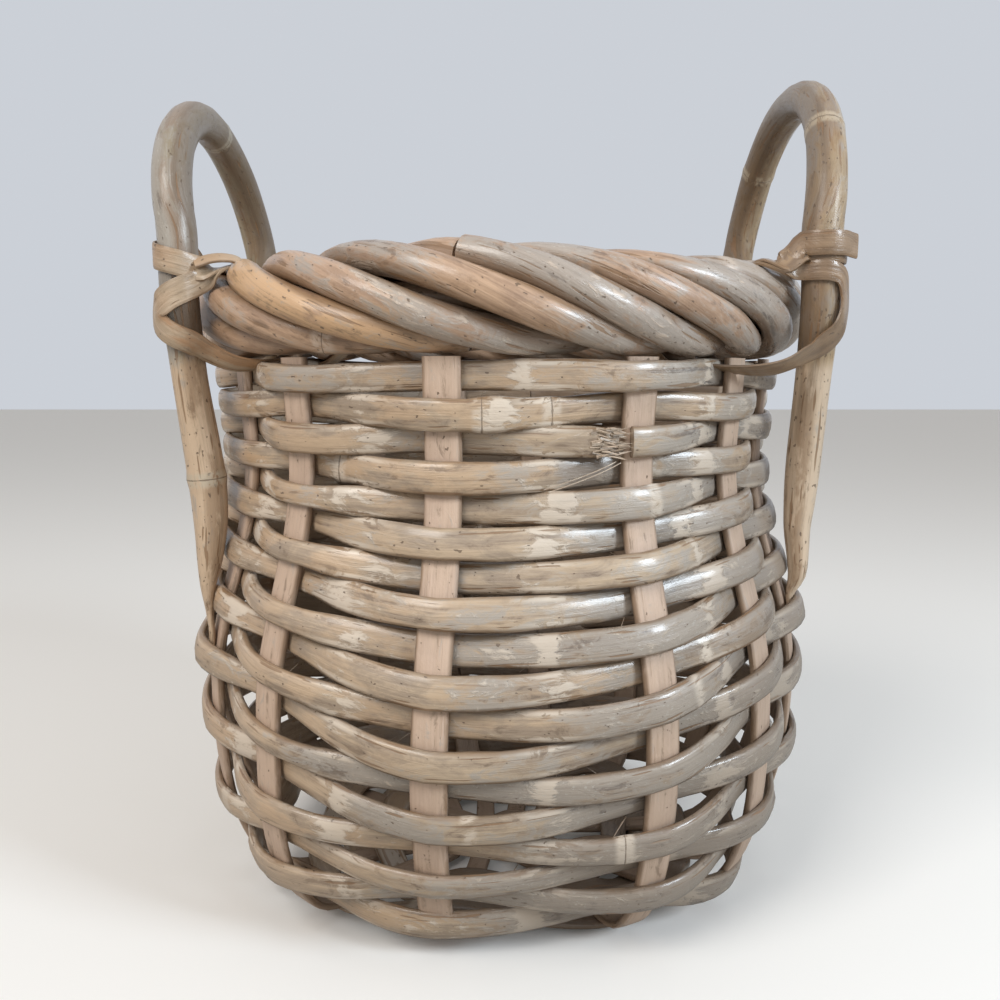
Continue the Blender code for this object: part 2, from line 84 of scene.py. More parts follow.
# Handles
HANDLE_DIAMETER = 15 * MM
LEG_AZIMUTH = 60
LEFT_HANDLE_RISE = 88.4 * MM
RIGHT_HANDLE_RISE = 97.4 * MM
HANDLE_LEAN = 7 * MM
FOOT_TIP_THICKNESS = 3 * MM
ARCH_STEPS = 12

# Straps
STRAP_WIDTH = 9.5 * MM
STRAP_THICKNESS = 1.3 * MM
COLLAR_SHARE = 1.14

# Stakes by azimuth at the mouth and at the base
STAKE_AZIMUTHS = [
    (-9.8, -15),
    (25, 31.5),
    (49.5, 56),
    (66.5, 77),
    (94, 97),
    (121, 117),
    (147, 141),
    (171, 166),
    (193, 191),
    (217, 216),
    (242, 240),
    (272, 266),
    (299.5, 292),
    (320, 312),
]
DRIFT_POWER = 3
LONG_STRIPS = [(13, 9), (0, 8), (1, 7), (2, 6)]
CROSS_STRIPS = [(12, 3), (11, 4), (10, 5)]

# Rows on the wall by their share of the stake's length, and how much further up they lie at the sides
WALL_WEAVER_SHARES = [
    (0.966, 0.004),
    (0.922, 0.010),
    (0.876, 0.018),
    (0.829, 0.027),
    (0.780, 0.038),
    (0.730, 0.050),
    (0.679, 0.063),
    (0.627, 0.076),
    (0.573, 0.090),
    (0.519, 0.104),
    (0.466, 0.116),
    (0.414, 0.124),
    (0.364, 0.116),
    (0.311, 0.103),
    (0.256, 0.084),
    (0.199, 0.064),
    (0.141, 0.042),
    (0.072, 0.020),
]
FLOOR_WEAVER_SHARES = [0.925, 0.755, 0.60]

# Handle legs by their side, 1 to the right, and by their front, 1 to the front
LEG_SIGNS = {
    "left_front": (-1, 1),
    "left_back": (-1, -1),
    "right_front": (1, 1),
    "right_back": (1, -1),
}
FOOT_WEAVER = 11
# A foot's tip behind its weaver: thickness and width. The stations above it: thickness, width and distance
# from the rows, in millimetres
FOOT_TIPS = {"left": (2.4 * MM, 5.5 * MM), "right": (3 * MM, 6 * MM)}
FOOT_STATIONS = {
    "left": [(3, 5.5, -1.5), (6, 8, 0), (9.5, 11, 0.2), (11.8, 12.5, 1.0)],
    "right": [(7, 8, -0.9), (8.8, 9.8, 0.9), (10.4, 11.5, 2.1), (12, 12.8, 3.8)],
}
# The cane is thinner towards its feet: its radius under the rim and beside it
LEG_RADII = (6.8 * MM, 7.2 * MM)

# Derived sizes
HANDLE_RADIUS = HANDLE_DIAMETER / 2
HALF_STAKE = STAKE_THICKNESS / 2
WEAVE_OFFSET = HALF_STAKE + CLEARANCE + WEAVER_THICKNESS / 2
FLOOR_LEVEL = WEAVE_OFFSET + WEAVER_THICKNESS / 2
ROPE_RADIUS = RIM_LAY_RADIUS + RIM_CANE_DIAMETER / 2
STRAP_SEAT = CLEARANCE + STRAP_THICKNESS / 2
STRAP_SHIFT = HANDLE_RADIUS + CLEARANCE + STRAP_WIDTH / 2
RIM_RADIUS = MOUTH_RADIUS - RIM_INSET
RIM_HEIGHT = WALL_TOP + RIM_GAP + ROPE_RADIUS
LEG_RADIUS = RIM_RADIUS + ROPE_RADIUS + CLEARANCE + HANDLE_RADIUS
COLLAR_HEIGHT = RIM_HEIGHT + COLLAR_SHARE * ROPE_RADIUS
SPRING_HEIGHT = COLLAR_HEIGHT + STRAP_WIDTH / 2 + CLEARANCE
WALL_WEAVERS = len(WALL_WEAVER_SHARES)
WEAVERS = WALL_WEAVERS + len(FLOOR_WEAVER_SHARES)
STAKES = len(STAKE_AZIMUTHS)

# How a row runs between the stakes. Its ends meet inside one of the stakes at the back
BACK_STAKES = (7, 8)
ROW_WIDTH = 11.7 * MM
ROW_FILL = 1.06
LOW_ROW_FILL = 1.2
LAST_CLOSE_ROW = 14
ROW_BULGE = 0.7 * MM
SIDE_BULGE = 6 * MM
SIDE_BULGE_ROWS = 9
SIDE_BULGE_STAKE = 11
ROW_BOW = 0.75
ROW_SQUEEZE = 0.03
SHOULDER_SWELLING = 0.08
ROW_DROP = 0.7 * MM
PUSH_REACH = 16 * MM
# How much further up the top row lies: everywhere, behind, and where the rope's slack part presses on it
TOP_ROW_LIFTS = (0.8 * MM, 1.8 * MM, 1.4 * MM)
PRESSED_AZIMUTH = 25
PRESSED_REACH = 26
# How much wider the rows are behind, each share up to and with a row
BACK_FILL = [(1, 0.34), (4, 0.06), (12, 0.24), (21, 0.42)]
# Rows that are narrower at the front left: first and last row, azimuth, reach in degrees, and share
NARROWER = (5, 13, -41, 11, 0.27)
# The lowest rows stand steeper than the wall: share of the way to upright, how far out and up, and width
PLAIN_ROW = (0, 0, 0, 1)
LOW_ROWS = {17: (0.25, 1.0 * MM, 0.8 * MM, 1.05), 18: (0.55, 2.6 * MM, 2.4 * MM, 1.18)}
# The wash is smeared where a row comes out from a stake: place in the bay, reach in millimetres, and amount
SMEAR_PLACES = (0.36, 0.62)
SMEAR_REACHES = (3, 8)
SMEARS = (0.1, 1.0)
# After this stake each upper row is smeared in full
SMEARED_STAKE = 1
SMEARED_ROWS = 12
FULL_SMEAR = (1.1, 3.4 * MM)
SEAM_REACH = 9 * MM
# Growth rings and bare swellings that the photo shows: row, azimuth and share
ROW_KNOTS = [(2, 9.5, 0.06), (4, -30, 0.08)]
ROW_BUMPS = [(2, -1, 0.15), (1, 4.5, 0.05), (5, 9, 0.05), (16, 33, 0.12)]
KNOT_REACH = 2.6 * MM
BUMP_REACH = 5 * MM
# Growth rings everywhere else: how far apart they are and how far each one reaches
RING_SPACINGS = {"row": (0.16, 0.34), "rim": (0.18, 0.30)}
RING_SWELLING = 0.05
RING_REACHES = {"row": 1.8 * MM, "rim": 2.2 * MM, "handle": 2.4 * MM}

# The broken row and the split one
TORN_ROW = 3
TORN_STAKE = 1
TORN_SHIFT = 5 * MM
TORN_WIDTHS = (0.9, 0.72)
TORN_THICKNESSES = (0.9, 0.6)
# Chips lie on the broken end and splinters stand out of it: how many, and the limits of their depth in it,
# way back from it, reach, outward slant and half width, with lengths in millimetres
TORN_KINDS = [
    (56, (0.7, 1.05), (0, 11), (2.0, 5.5), (-0.05, 0.28), (0.3, 0.75)),
    (24, (-0.4, 1.0), (0, 3), (2.0, 7.0), (-0.1, 0.3), (0.2, 0.5)),
]
TORN_SPREAD = 0.92
TORN_SLANT = 0.38
TORN_FLATNESS = 0.6
SPLIT_ROW = 4
SPLIT_AZIMUTHS = (7, 20)
SPLIT_STRANDS = 2
# Where the first strand across the split starts and how far it rises, as shares of the wall, and how much the
# next one differs, then its millimetres off the row: at its start, more in the middle, and at its end
SPLIT_START = (-0.018, -0.0034)
SPLIT_RISE = (0.034, 0.0012)
SPLIT_STEP_DEGREES = 0.9
SPLIT_STANDOFFS = (1.1, 0.6, -3.0)
SPLIT_DARK_AZIMUTH = 15.5
SPLIT_DARK_REACH = 6.0
SPLIT_STRAND_WIDTHS = (0.17, 0.23)
LOOSE_FIBRES = 110
FIBRE_ROWS = [6, 8, 9, 10, 11, 12, 13, 14, 15, 16]

# The rope is full at the front left and slack at the front right: azimuth, reach in degrees, wider and higher
ROPE_SHAPES = [(-14, 26, 0.7 * MM, 0.8 * MM), (32, 24, -1.2 * MM, -1.3 * MM)]
# The canes' lay wanders by some degrees, with bends some degrees apart, but not near their ends
LAY_WANDER = 5.0
LAY_WAVE = 36.0
LAY_FADE = 12
# A rim cane's width and thickness as shares of its diameter
RIM_CANE_SHARES = (1.07, 0.98)
CORE_STEPS = 90
CORE_GAP_DEGREES = 0.3
# One cane is bright tan for a length, and another has a warm spot
BRIGHT_CANE = 0
BRIGHT_AZIMUTH = -38
BRIGHT_REACH = 30
SPOTTED_CANE = 5
SPOT_AZIMUTH = -17
SPOT_REACH = 5

# Growth rings on each handle: share of the cane's length, and swelling
HANDLE_KNOTS = {
    "left": ((0.138, 0.08), (0.52, 0.03), (0.9, 0.06)),
    "right": ((0.38, 0.04), (0.60, 0.05), (0.86, 0.06)),
}

# Floor, light and camera. The floor lights the object as a darker table would
FLOOR_REACH = 6.0
FLOOR_LIT = (0.42, 0.40, 0.37)
FLOOR_SEEN = (0.87, 0.855, 0.83)
FLOOR_GLOW = (0.04, 0.04, 0.039)
WORLD_LIT = (1.0, 0.985, 0.97)
WORLD_LIT_STRENGTH = 0.48
WORLD_SEEN = (0.60, 0.63, 0.68)
# Place, target, side, power and colour
LIGHTS = {
    "key": ((-0.8, -1.1, 1.35), (0, 0, 0.15), 0.8, 18, (1.0, 0.965, 0.92)),
    "window": ((1.05, -0.75, 0.75), (0, 0, 0.17), 0.36, 12.5, (0.79, 0.90, 1.0)),
}
CAMERA_PLACE = (0, -0.450, 0.220)
CAMERA_DIP = 7.125
CAMERA_LENS = 36
CAMERA_SENSOR = 36
CAMERA_CLIP_START = 0.01

# Where the random draws of each kind of piece start
SEEDS = {
    "fibres": 31,
    "torn_end": 77,
    "long_strip": 100,
    "cross_strip": 200,
    "row_knots": 500,
    "row_colour": 700,
    "row_smears": 900,
    "row": 1000,
    "row_drift": 1500,
    "rim": 3000,
    "handle_left": 4000,
    "handle_right": 4100,
    "lashing": 5000,
    "collar": 5500,
    "outer_collar": 5800,
    "curl": 5900,
    "row_lumps": 6000,
}
# How uneven each kind of cane is, with the length from bend to bend: its width, its section and its line
UNEVEN = {
    "row": ((0.05, 34 * MM), (0.032, 11 * MM), (0.45 * MM, 50 * MM)),
    "rim": ((0.045, 45 * MM), (0.03, 16 * MM), (0.4 * MM, 45 * MM)),
    "handle": ((0.03, 40 * MM), (0.018, 22 * MM), (0.5 * MM, 60 * MM)),
}
STAKE_SWELL = (0.03, 30 * MM)
STRAP_SWELL = (0.06, 18 * MM)
# The marks that tell the finish about each place of a cane, as they are unless a piece says otherwise
MARKS = {"knot": 0.0, "pale": 0.4, "shoulder": 0.0, "dark": 0.2, "warm": 0.3, "cool": 0.2, "seam": 0.0}

# How finely the canes are swept
ROW_STEP = 4.8 * MM
STAKE_STEP = 6 * MM
RIM_STEP_DEGREES = 2.5
HANDLE_STEP = 4 * MM
STRAP_STEP = 1.6 * MM
SHARP_DEGREES = 60


# The body's shape

def outward(azimuth):
    """Unit vector from the axis towards an azimuth."""
    turn = math.radians(azimuth)
    return Vector((math.sin(turn), -math.cos(turn), 0))


def along_wall(azimuth):
    """Unit vector round the basket, towards a growing azimuth."""
    turn = math.radians(azimuth)
    return Vector((math.cos(turn), math.sin(turn), 0))


def ease(share):
    """0 to 1 with a level start and end."""
    return (1 - math.cos(math.pi * share)) / 2


def bell(distance, reach, power=2):
    """1 at no distance, and falling to nothing beyond the reach."""
    return np.exp(-((distance / reach) ** power))


def angle_between(azimuth, other):
    """The smaller angle from one azimuth to another."""
    return abs((azimuth - other + HALF_TURN) % FULL_TURN - HALF_TURN)


def profile_points():
    """(radius, height) up the middle of a stake, from the edge of the flat floor to the rim."""
    points = []
    for step in range(PROFILE_STEPS + 1):
        angle = math.pi / 2 * step / PROFILE_STEPS
        radius = FOOT_RADIUS + (BELLY_RADIUS - FOOT_RADIUS) * math.sin(angle) ** LOWER_WALL_ROUNDNESS
        points.append((radius, FLOOR_LEVEL + (BELLY_HEIGHT - FLOOR_LEVEL) * (1 - math.cos(angle))))
    ends = [(BELLY_RADIUS, BELLY_HEIGHT), (NECK_RADIUS, NECK_HEIGHT), (MOUTH_RADIUS, WALL_TOP)]
    for (radius, height), (next_radius, next_height) in zip(ends, ends[1:]):
        for step in range(1, PROFILE_STEPS + 1):
            share = step / PROFILE_STEPS
            level = height + (next_height - height) * share
            points.append((radius + (next_radius - radius) * ease(share), level))
    return points


PROFILE = np.array(profile_points())
PROFILE_LENGTHS = np.concatenate([[0], np.cumsum(np.hypot(*np.diff(PROFILE, axis=0).T))])
WALL_LENGTH = float(PROFILE_LENGTHS[-1])


def profile_at(share):
    """(radius, height) at a share of the wall's length. Below 0 it is on the flat floor."""
    if share <= 0:
        return FOOT_RADIUS + share * WALL_LENGTH, FLOOR_LEVEL
    target = min(share, 1) * WALL_LENGTH
    radius = np.interp(target, PROFILE_LENGTHS, PROFILE[:, 0])
    return float(radius), float(np.interp(target, PROFILE_LENGTHS, PROFILE[:, 1]))


def squareness(azimuth, height):
    """The base is a rounded square, a little wider than deep, and the belly and mouth are round."""
    turn = math.radians(azimuth)
    weight = ease(max(0.0, 1 - (height - FLOOR_LEVEL) / (BELLY_HEIGHT - FLOOR_LEVEL)))
    shape = BASE_SQUARENESS_SHARE * math.cos(4 * turn) + BASE_OVAL_SHARE * math.cos(2 * turn)
    return 1 - weight * shape


def wall_point(share, azimuth):
    """A point on the middle surface of the stakes."""
    radius, height = profile_at(share)
    return outward(azimuth) * radius * squareness(azimuth, height) + UP * height


def stake_azimuth(stake, share):
    """A stake's azimuth at a share of the wall: it fans out towards the base's corners."""
    mouth, base = STAKE_AZIMUTHS[stake]
    low = (1 - min(max(share, 0), 1)) ** DRIFT_POWER
    return mouth + (base - mouth) * low


def weaver_share(weaver, azimuth):
    """Where a weaver, counted from 1, crosses a stake of that azimuth."""
    if weaver > WALL_WEAVERS:
        radius = FLOOR_WEAVER_SHARES[weaver - WALL_WEAVERS - 1] * FOOT_RADIUS
        return (radius - FOOT_RADIUS) / WALL_LENGTH
    front, lift = WALL_WEAVER_SHARES[weaver - 1]
    return front + lift * math.sin(math.radians(azimuth)) ** 2


def breaks_of(stake):
    """Shares of the wall where a stake crosses each weaver, and halfway between them, top first."""
    mouth, base = STAKE_AZIMUTHS[stake]
    azimuths = [mouth] * WALL_WEAVERS + [base] * (WEAVERS - WALL_WEAVERS)
    crossings = [weaver_share(weaver, azimuth) for weaver, azimuth in enumerate(azimuths, 1)]
    middles = [(a + b) / 2 for a, b in zip(crossings, crossings[1:])]
    last_pitch = crossings[-2] - crossings[-1]
    return crossings, [1.0] + middles + [crossings[-1] - last_pitch / 2]


def crossing(stake, weaver):
    """Where one weaver passes one stake: azimuth, place, way out, way up, and room between its neighbours."""
    crossings, breaks = breaks_of(stake)
    top, bottom, here = breaks[weaver - 1], breaks[weaver], crossings[weaver - 1]
    azimuth = stake_azimuth(stake, here)
    upper, lower = (wall_point(share, stake_azimuth(stake, share)) for share in (top, bottom))
    centre = np.array(lower.lerp(upper, (here - bottom) / (top - bottom)))
    side = along_wall(azimuth)
    normal = side.cross((upper - lower).normalized()).normalized()
    return {
        "stake": stake,
        "azimuth": azimuth,
        "centre": centre,
        "normal": np.array(normal),
        "rise": np.array(normal.cross(side).normalized()),
        "delta": centre - np.array(wall_point(here, azimuth)),
        "room": 2 * min(top - here, here - bottom) * WALL_LENGTH,
    }


def stake_width(share):
    """Full width on the wall, narrowing over the floor towards the crossing strips."""
    if share >= 0:
        return STAKE_WIDTH
    inner = FLOOR_WEAVER_SHARES[-1] * FOOT_RADIUS
    part = min(1, -share * WALL_LENGTH / (FOOT_RADIUS - inner))
    return STAKE_WIDTH + (STRIP_CENTRE_WIDTH - STAKE_WIDTH) * part


def is_outside(weaver, stake):
    """A weaver passes outside every other stake, and each weaver starts one stake on from the last."""
    return (stake + weaver) % 2 == 0


# Sweeping a cane along a line

def superellipse(sides, outer_power, inner_power):
    """Corners of a rounded section, 1 from middle to edge: across the cane, and out from its middle."""
    corners = []
    for i in range(sides):
        angle = 2 * math.pi * (i + 0.5) / sides
        across, out = math.cos(angle), math.sin(angle)
        power = outer_power if out > 0 else inner_power
        corners.append((
            math.copysign(abs(across) ** (2 / power), across),
            math.copysign(abs(out) ** (2 / power), out),
        ))
    return np.array(corners)


# Sections by their corners, and by how square their outer and inner halves are
HALF_ROUND = superellipse(12, 2.3, 4.0)
FLAT = superellipse(12, 4.0, 5.0)
ROUND = superellipse(16, 2.0, 2.0)
STRAND = superellipse(4, 2.0, 2.0)
HOOP = superellipse(10, 2.0, 2.0)


def unit(rows):
    """Rows of vectors made one long."""
    return rows / np.linalg.norm(rows, axis=1, keepdims=True)


def flow(stations, step):
    """More stations on a smooth curve through the given ones, whose first three columns are a place."""
    stations = np.array(stations, float)
    spans = np.linalg.norm(np.diff(stations[:, :3], axis=0), axis=1)
    slopes = np.diff(stations, axis=0) / spans[:, None]
    tangents = np.empty_like(stations)
    tangents[0], tangents[-1] = slopes[0], slopes[-1]
    before, after = spans[:-1, None], spans[1:, None]
    tangents[1:-1] = (before * slopes[1:] + after * slopes[:-1]) / (before + after)
    rows = []
    for i, span in enumerate(spans):
        count = max(1, math.ceil(span / step))
        for part in np.arange(count) / count:
            cube, square = part ** 3, part ** 2
            rows.append(
                (2 * cube - 3 * square + 1) * stations[i]
                + (cube - 2 * square + part) * span * tangents[i]
                + (3 * square - 2 * cube) * stations[i + 1]
                + (cube - square) * span * tangents[i + 1]
            )
    rows.append(stations[-1])
    return np.array(rows)


def wander(lengths, wave, seed):
    """A smooth random line between -1 and 1 along a cane, with bends about a wave apart."""
    draws = np.random.default_rng(seed).uniform(-1, 1, int(lengths[-1] / wave) + 4)
    place = lengths / wave
    index = place.astype(int)
    part = (1 - np.cos(np.pi * (place - index))) / 2
    return draws[index] * (1 - part) + draws[index + 1] * part


def running_length(places):
    """How far along the line each place is."""
    steps = np.linalg.norm(np.diff(places, axis=0), axis=1)
    return np.concatenate([[0], np.cumsum(steps)])


class Cane:
    """A cane's line, ready to be swept: places, the way out, half width and half thickness, and marks."""

    def __init__(self, places, outs, half_wide, half_thick):
        self.places = np.array(places, float)
        count = len(self.places)
        self.outs = np.array(outs, float)
        self.half_wide = np.full(count, 1.0) * half_wide
        self.half_thick = np.full(count, 1.0) * half_thick
        self.lengths = running_length(self.places)
        # Shifts the finish along the cane, so that no two canes look alike
        self.offset = 0.0
        self.lumps = None
        for name, value in MARKS.items():
            setattr(self, name, np.full(count, value))

    def swell(self, share, wave, seed):
        """Uneven thickness and width."""
        self.half_wide *= 1 + share * wander(self.lengths, wave, seed)
        self.half_thick *= 1 + share * wander(self.lengths, wave, seed + 1)

    def roughen(self, kind, seed, lump_seed, drift_seed):
        """The unevenness of one kind of cane, whose line is never quite true."""
        swelling, lumps, (reach, wave) = UNEVEN[kind]
        self.swell(*swelling, seed)
        self.lumps = (*lumps, lump_seed)
        for axis in range(3):
            self.places[:, axis] += reach * wander(self.lengths, wave, drift_seed + axis)

    def add_knot(self, at, swelling, spread):
        """A growth ring: a low swelling with a mark on it."""
        ring = bell(self.lengths - at, spread)
        self.knot = np.maximum(self.knot, ring)
        self.half_wide *= 1 + swelling * ring
        self.half_thick *= 1 + swelling * ring

    def add_knots(self, kind, seed):
        """Growth rings all along the cane, apart by random lengths between the kind's two limits."""
        draws = random.Random(seed)
        low, high = RING_SPACINGS[kind]
        at = draws.uniform(0.2 * low, high)
        while at < self.lengths[-1]:
            self.add_knot(at, RING_SWELLING, RING_REACHES[kind])
            at += draws.uniform(low, high)

    def unevenness(self, sides):
        """The lumps round each section, as a share of its size."""
        share, wave, seed = self.lumps
        turns = 2 * math.pi * np.arange(sides) / sides
        uneven = 1.0
        for order in (1, 2, 3):
            for phase in (0, math.pi / 2):
                seed += 1
                bumps = share / order ** 0.5 * wander(self.lengths, wave, seed)
                uneven = uneven + bumps[:, None] * np.cos(order * turns + phase)[None, :]
        return uneven


def attribute(data, name, columns):
    """Gives each of a mesh's points three numbers under a name."""
    made = data.attributes.new(name, "FLOAT_VECTOR", "POINT")
    made.data.foreach_set("vector", np.ravel(np.stack(columns, axis=-1)).astype(np.float32))


def placed(name, data):
    """A new object in the scene."""
    made = bpy.data.objects.new(name, data)
    bpy.context.scene.collection.objects.link(made)
    return made


def tube(cane, section):
    """The rings of points along one cane, and the marks of each point."""
    travel = unit(np.gradient(cane.places, axis=0))
    outs = unit(cane.outs - travel * np.sum(travel * cane.outs, axis=1, keepdims=True))
    across = np.cross(travel, outs)
    wide = section[None, :, 0] * cane.half_wide[:, None]
    thick = section[None, :, 1] * cane.half_thick[:, None]
    if cane.lumps:
        uneven = cane.unevenness(len(section))
        wide, thick = wide * uneven, thick * uneven
    points = cane.places[:, None] + across[:, None] * wide[:, :, None] + outs[:, None] * thick[:, :, None]

    def each(values):
        return np.broadcast_to(values, wide.shape).ravel()

    def along(name):
        return each(getattr(cane, name)[:, None])

    marks = {
        "cane": [wide.ravel(), thick.ravel(), each((cane.lengths + cane.offset)[:, None])],
        "around": [each(section[None, :, 0]), each(section[None, :, 1]), along("knot")],
        # The dark mark holds the cane's own darker tones and the painted shade that some pieces set
        "wear_and_shade": [along("pale"), along("shoulder"), along("dark")],
        "tint": [along("warm"), along("cool"), along("seam")],
    }
    return points, marks


def sweep(name, canes, section, look, nodes=()):
    """A mesh piece along one or more canes, each with its own coordinates: across, out and along."""
    points, faces, marks = [], [], []
    base = 0
    for cane in canes if isinstance(canes, list) else [canes]:
        mesh, mark = tube(cane, section)
        rings, sides = mesh.shape[:2]
        points.append(mesh.reshape(-1, 3))
        marks.append(mark)
        index = base + np.arange(rings * sides).reshape(rings, sides)
        following = np.roll(index, -1, axis=1)
        quads = np.stack([index[:-1], index[1:], following[1:], following[:-1]], axis=-1).reshape(-1, 4)
        faces += [tuple(quad) for quad in quads.tolist()]
        faces += [tuple(index[0].tolist()), tuple(index[-1][::-1].tolist())]
        base += rings * sides
    data = bpy.data.meshes.new(name)
    data.from_pydata(np.concatenate(points).tolist(), [], faces)
    for label in marks[0]:
        attribute(data, label, [np.concatenate([mark[label][k] for mark in marks]) for k in range(3)])
    data.shade_smooth()
    data.set_sharp_from_angle(angle=math.radians(SHARP_DEGREES))
    data.materials.append(look)
    piece = placed(name, data)
    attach(piece, BODY)
    if nodes:
        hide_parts(*nodes)


# Looks

def is_output(value):
    """Whether it is another node's output rather than a value."""
    return isinstance(value, bpy.types.NodeSocket)


def add_node(tree, kind, inputs, **settings):
    """A node with its settings and its inputs, each a value or another node's output."""
    made = tree.nodes.new(kind)
    for key, value in settings.items():
        setattr(made, key, value)
    for key, value in inputs.items():
        if is_output(value):
            tree.links.new(value, made.inputs[key])
        else:
            made.inputs[key].default_value = value
    return made


def mix_colours(tree, amount, first, second):
    """A colour between two, each a colour or an output."""
    first, second = (value if is_output(value) else (*value, 1) for value in (first, second))
    return add_node(tree, "ShaderNodeMix", {0: amount, 6: first, 7: second}, data_type="RGBA").outputs[2]


class Tree:
    """A material's nodes, built from the cane's own coordinates and marks."""

    def __init__(self, name):
        self.material = bpy.data.materials.new(name)
        self.material.use_nodes = True
        self.tree = self.material.node_tree
        self.shader = self.tree.nodes["Principled BSDF"]
        self.cane = self.mark("cane")

    def add(self, kind, inputs, **settings):
        """A new node's first output."""
        return add_node(self.tree, kind, inputs, **settings).outputs[0]

    def shade(self, key, value):
        """Puts a value or an output on one of the shader's sockets."""
        if is_output(value):
            self.tree.links.new(value, self.shader.inputs[key])
        else:
            self.shader.inputs[key].default_value = value

    def mark(self, name):
        return add_node(self.tree, "ShaderNodeAttribute", {}, attribute_name=name).outputs["Vector"]

    def parts(self, name):
        """The three numbers that a mark holds."""
        return add_node(self.tree, "ShaderNodeSeparateXYZ", {0: self.mark(name)}).outputs

    def maths(self, operation, *values):
        return self.add("ShaderNodeMath", dict(enumerate(values)), operation=operation)

    def product(self, *factors):
        result = factors[0]
        for factor in factors[1:]:
            result = self.maths("MULTIPLY", result, factor)
        return result

    def total(self, *pairs):
        """The sum of values, each times its weight."""
        result = self.maths("MULTIPLY", *pairs[0])
        for value, weight in pairs[1:]:
            result = self.maths("MULTIPLY_ADD", value, weight, result)
        return result

    def noise(self, size, detail, shift, roughness=0.5, distortion=0.0):
        """Noise with features of a size across and along the cane."""
        across, along = size
        inputs = {0: self.cane, 1: (1 / across, 1 / across, 1 / along), 2: (shift, shift / 2, shift)}
        place = self.add("ShaderNodeVectorMath", inputs, operation="MULTIPLY_ADD")
        inputs = {"Vector": place, "Scale": 1.0, "Detail": detail, "Roughness": roughness}
        inputs["Distortion"] = distortion
        return add_node(self.tree, "ShaderNodeTexNoise", inputs).outputs["Fac"]

    def between(self, value, low, high):
        """0 below low, 1 above high, smooth between."""
        inputs = {"Value": value, "From Min": low, "From Max": high, "To Min": 0.0, "To Max": 1.0}
        return self.add("ShaderNodeMapRange", inputs, interpolation_type="SMOOTHSTEP")

    def mix(self, amount, first, second):
        return mix_colours(self.tree, amount, first, second)

    def tint(self, colour, tone, *factors):
        """The colour, mixed towards a tone by the product of some factors."""
        return self.mix(self.product(*factors), colour, tone)


# Colours that the canes share
SHADOW = (0.15, 0.10, 0.062)
SLATE = (0.135, 0.125, 0.122)
GREY_WASH = (0.395, 0.362, 0.325)
FLECK = (0.62, 0.60, 0.54)
SCAR = (0.24, 0.135, 0.065)

# How large the finish's features are, across and along the cane
FIBRE = (0.5 * MM, 24 * MM)
STREAK = (2.4 * MM, 48 * MM)
PATCH = (5 * MM, 11 * MM)
BLOTCH = (9 * MM, 26 * MM)
SPECK = (1.2 * MM, 2.2 * MM)
LENS = (1.5 * MM, 20 * MM)
PIT = (1.5 * MM, 2.4 * MM)
BUMP_HEIGHT = 0.5 * MM


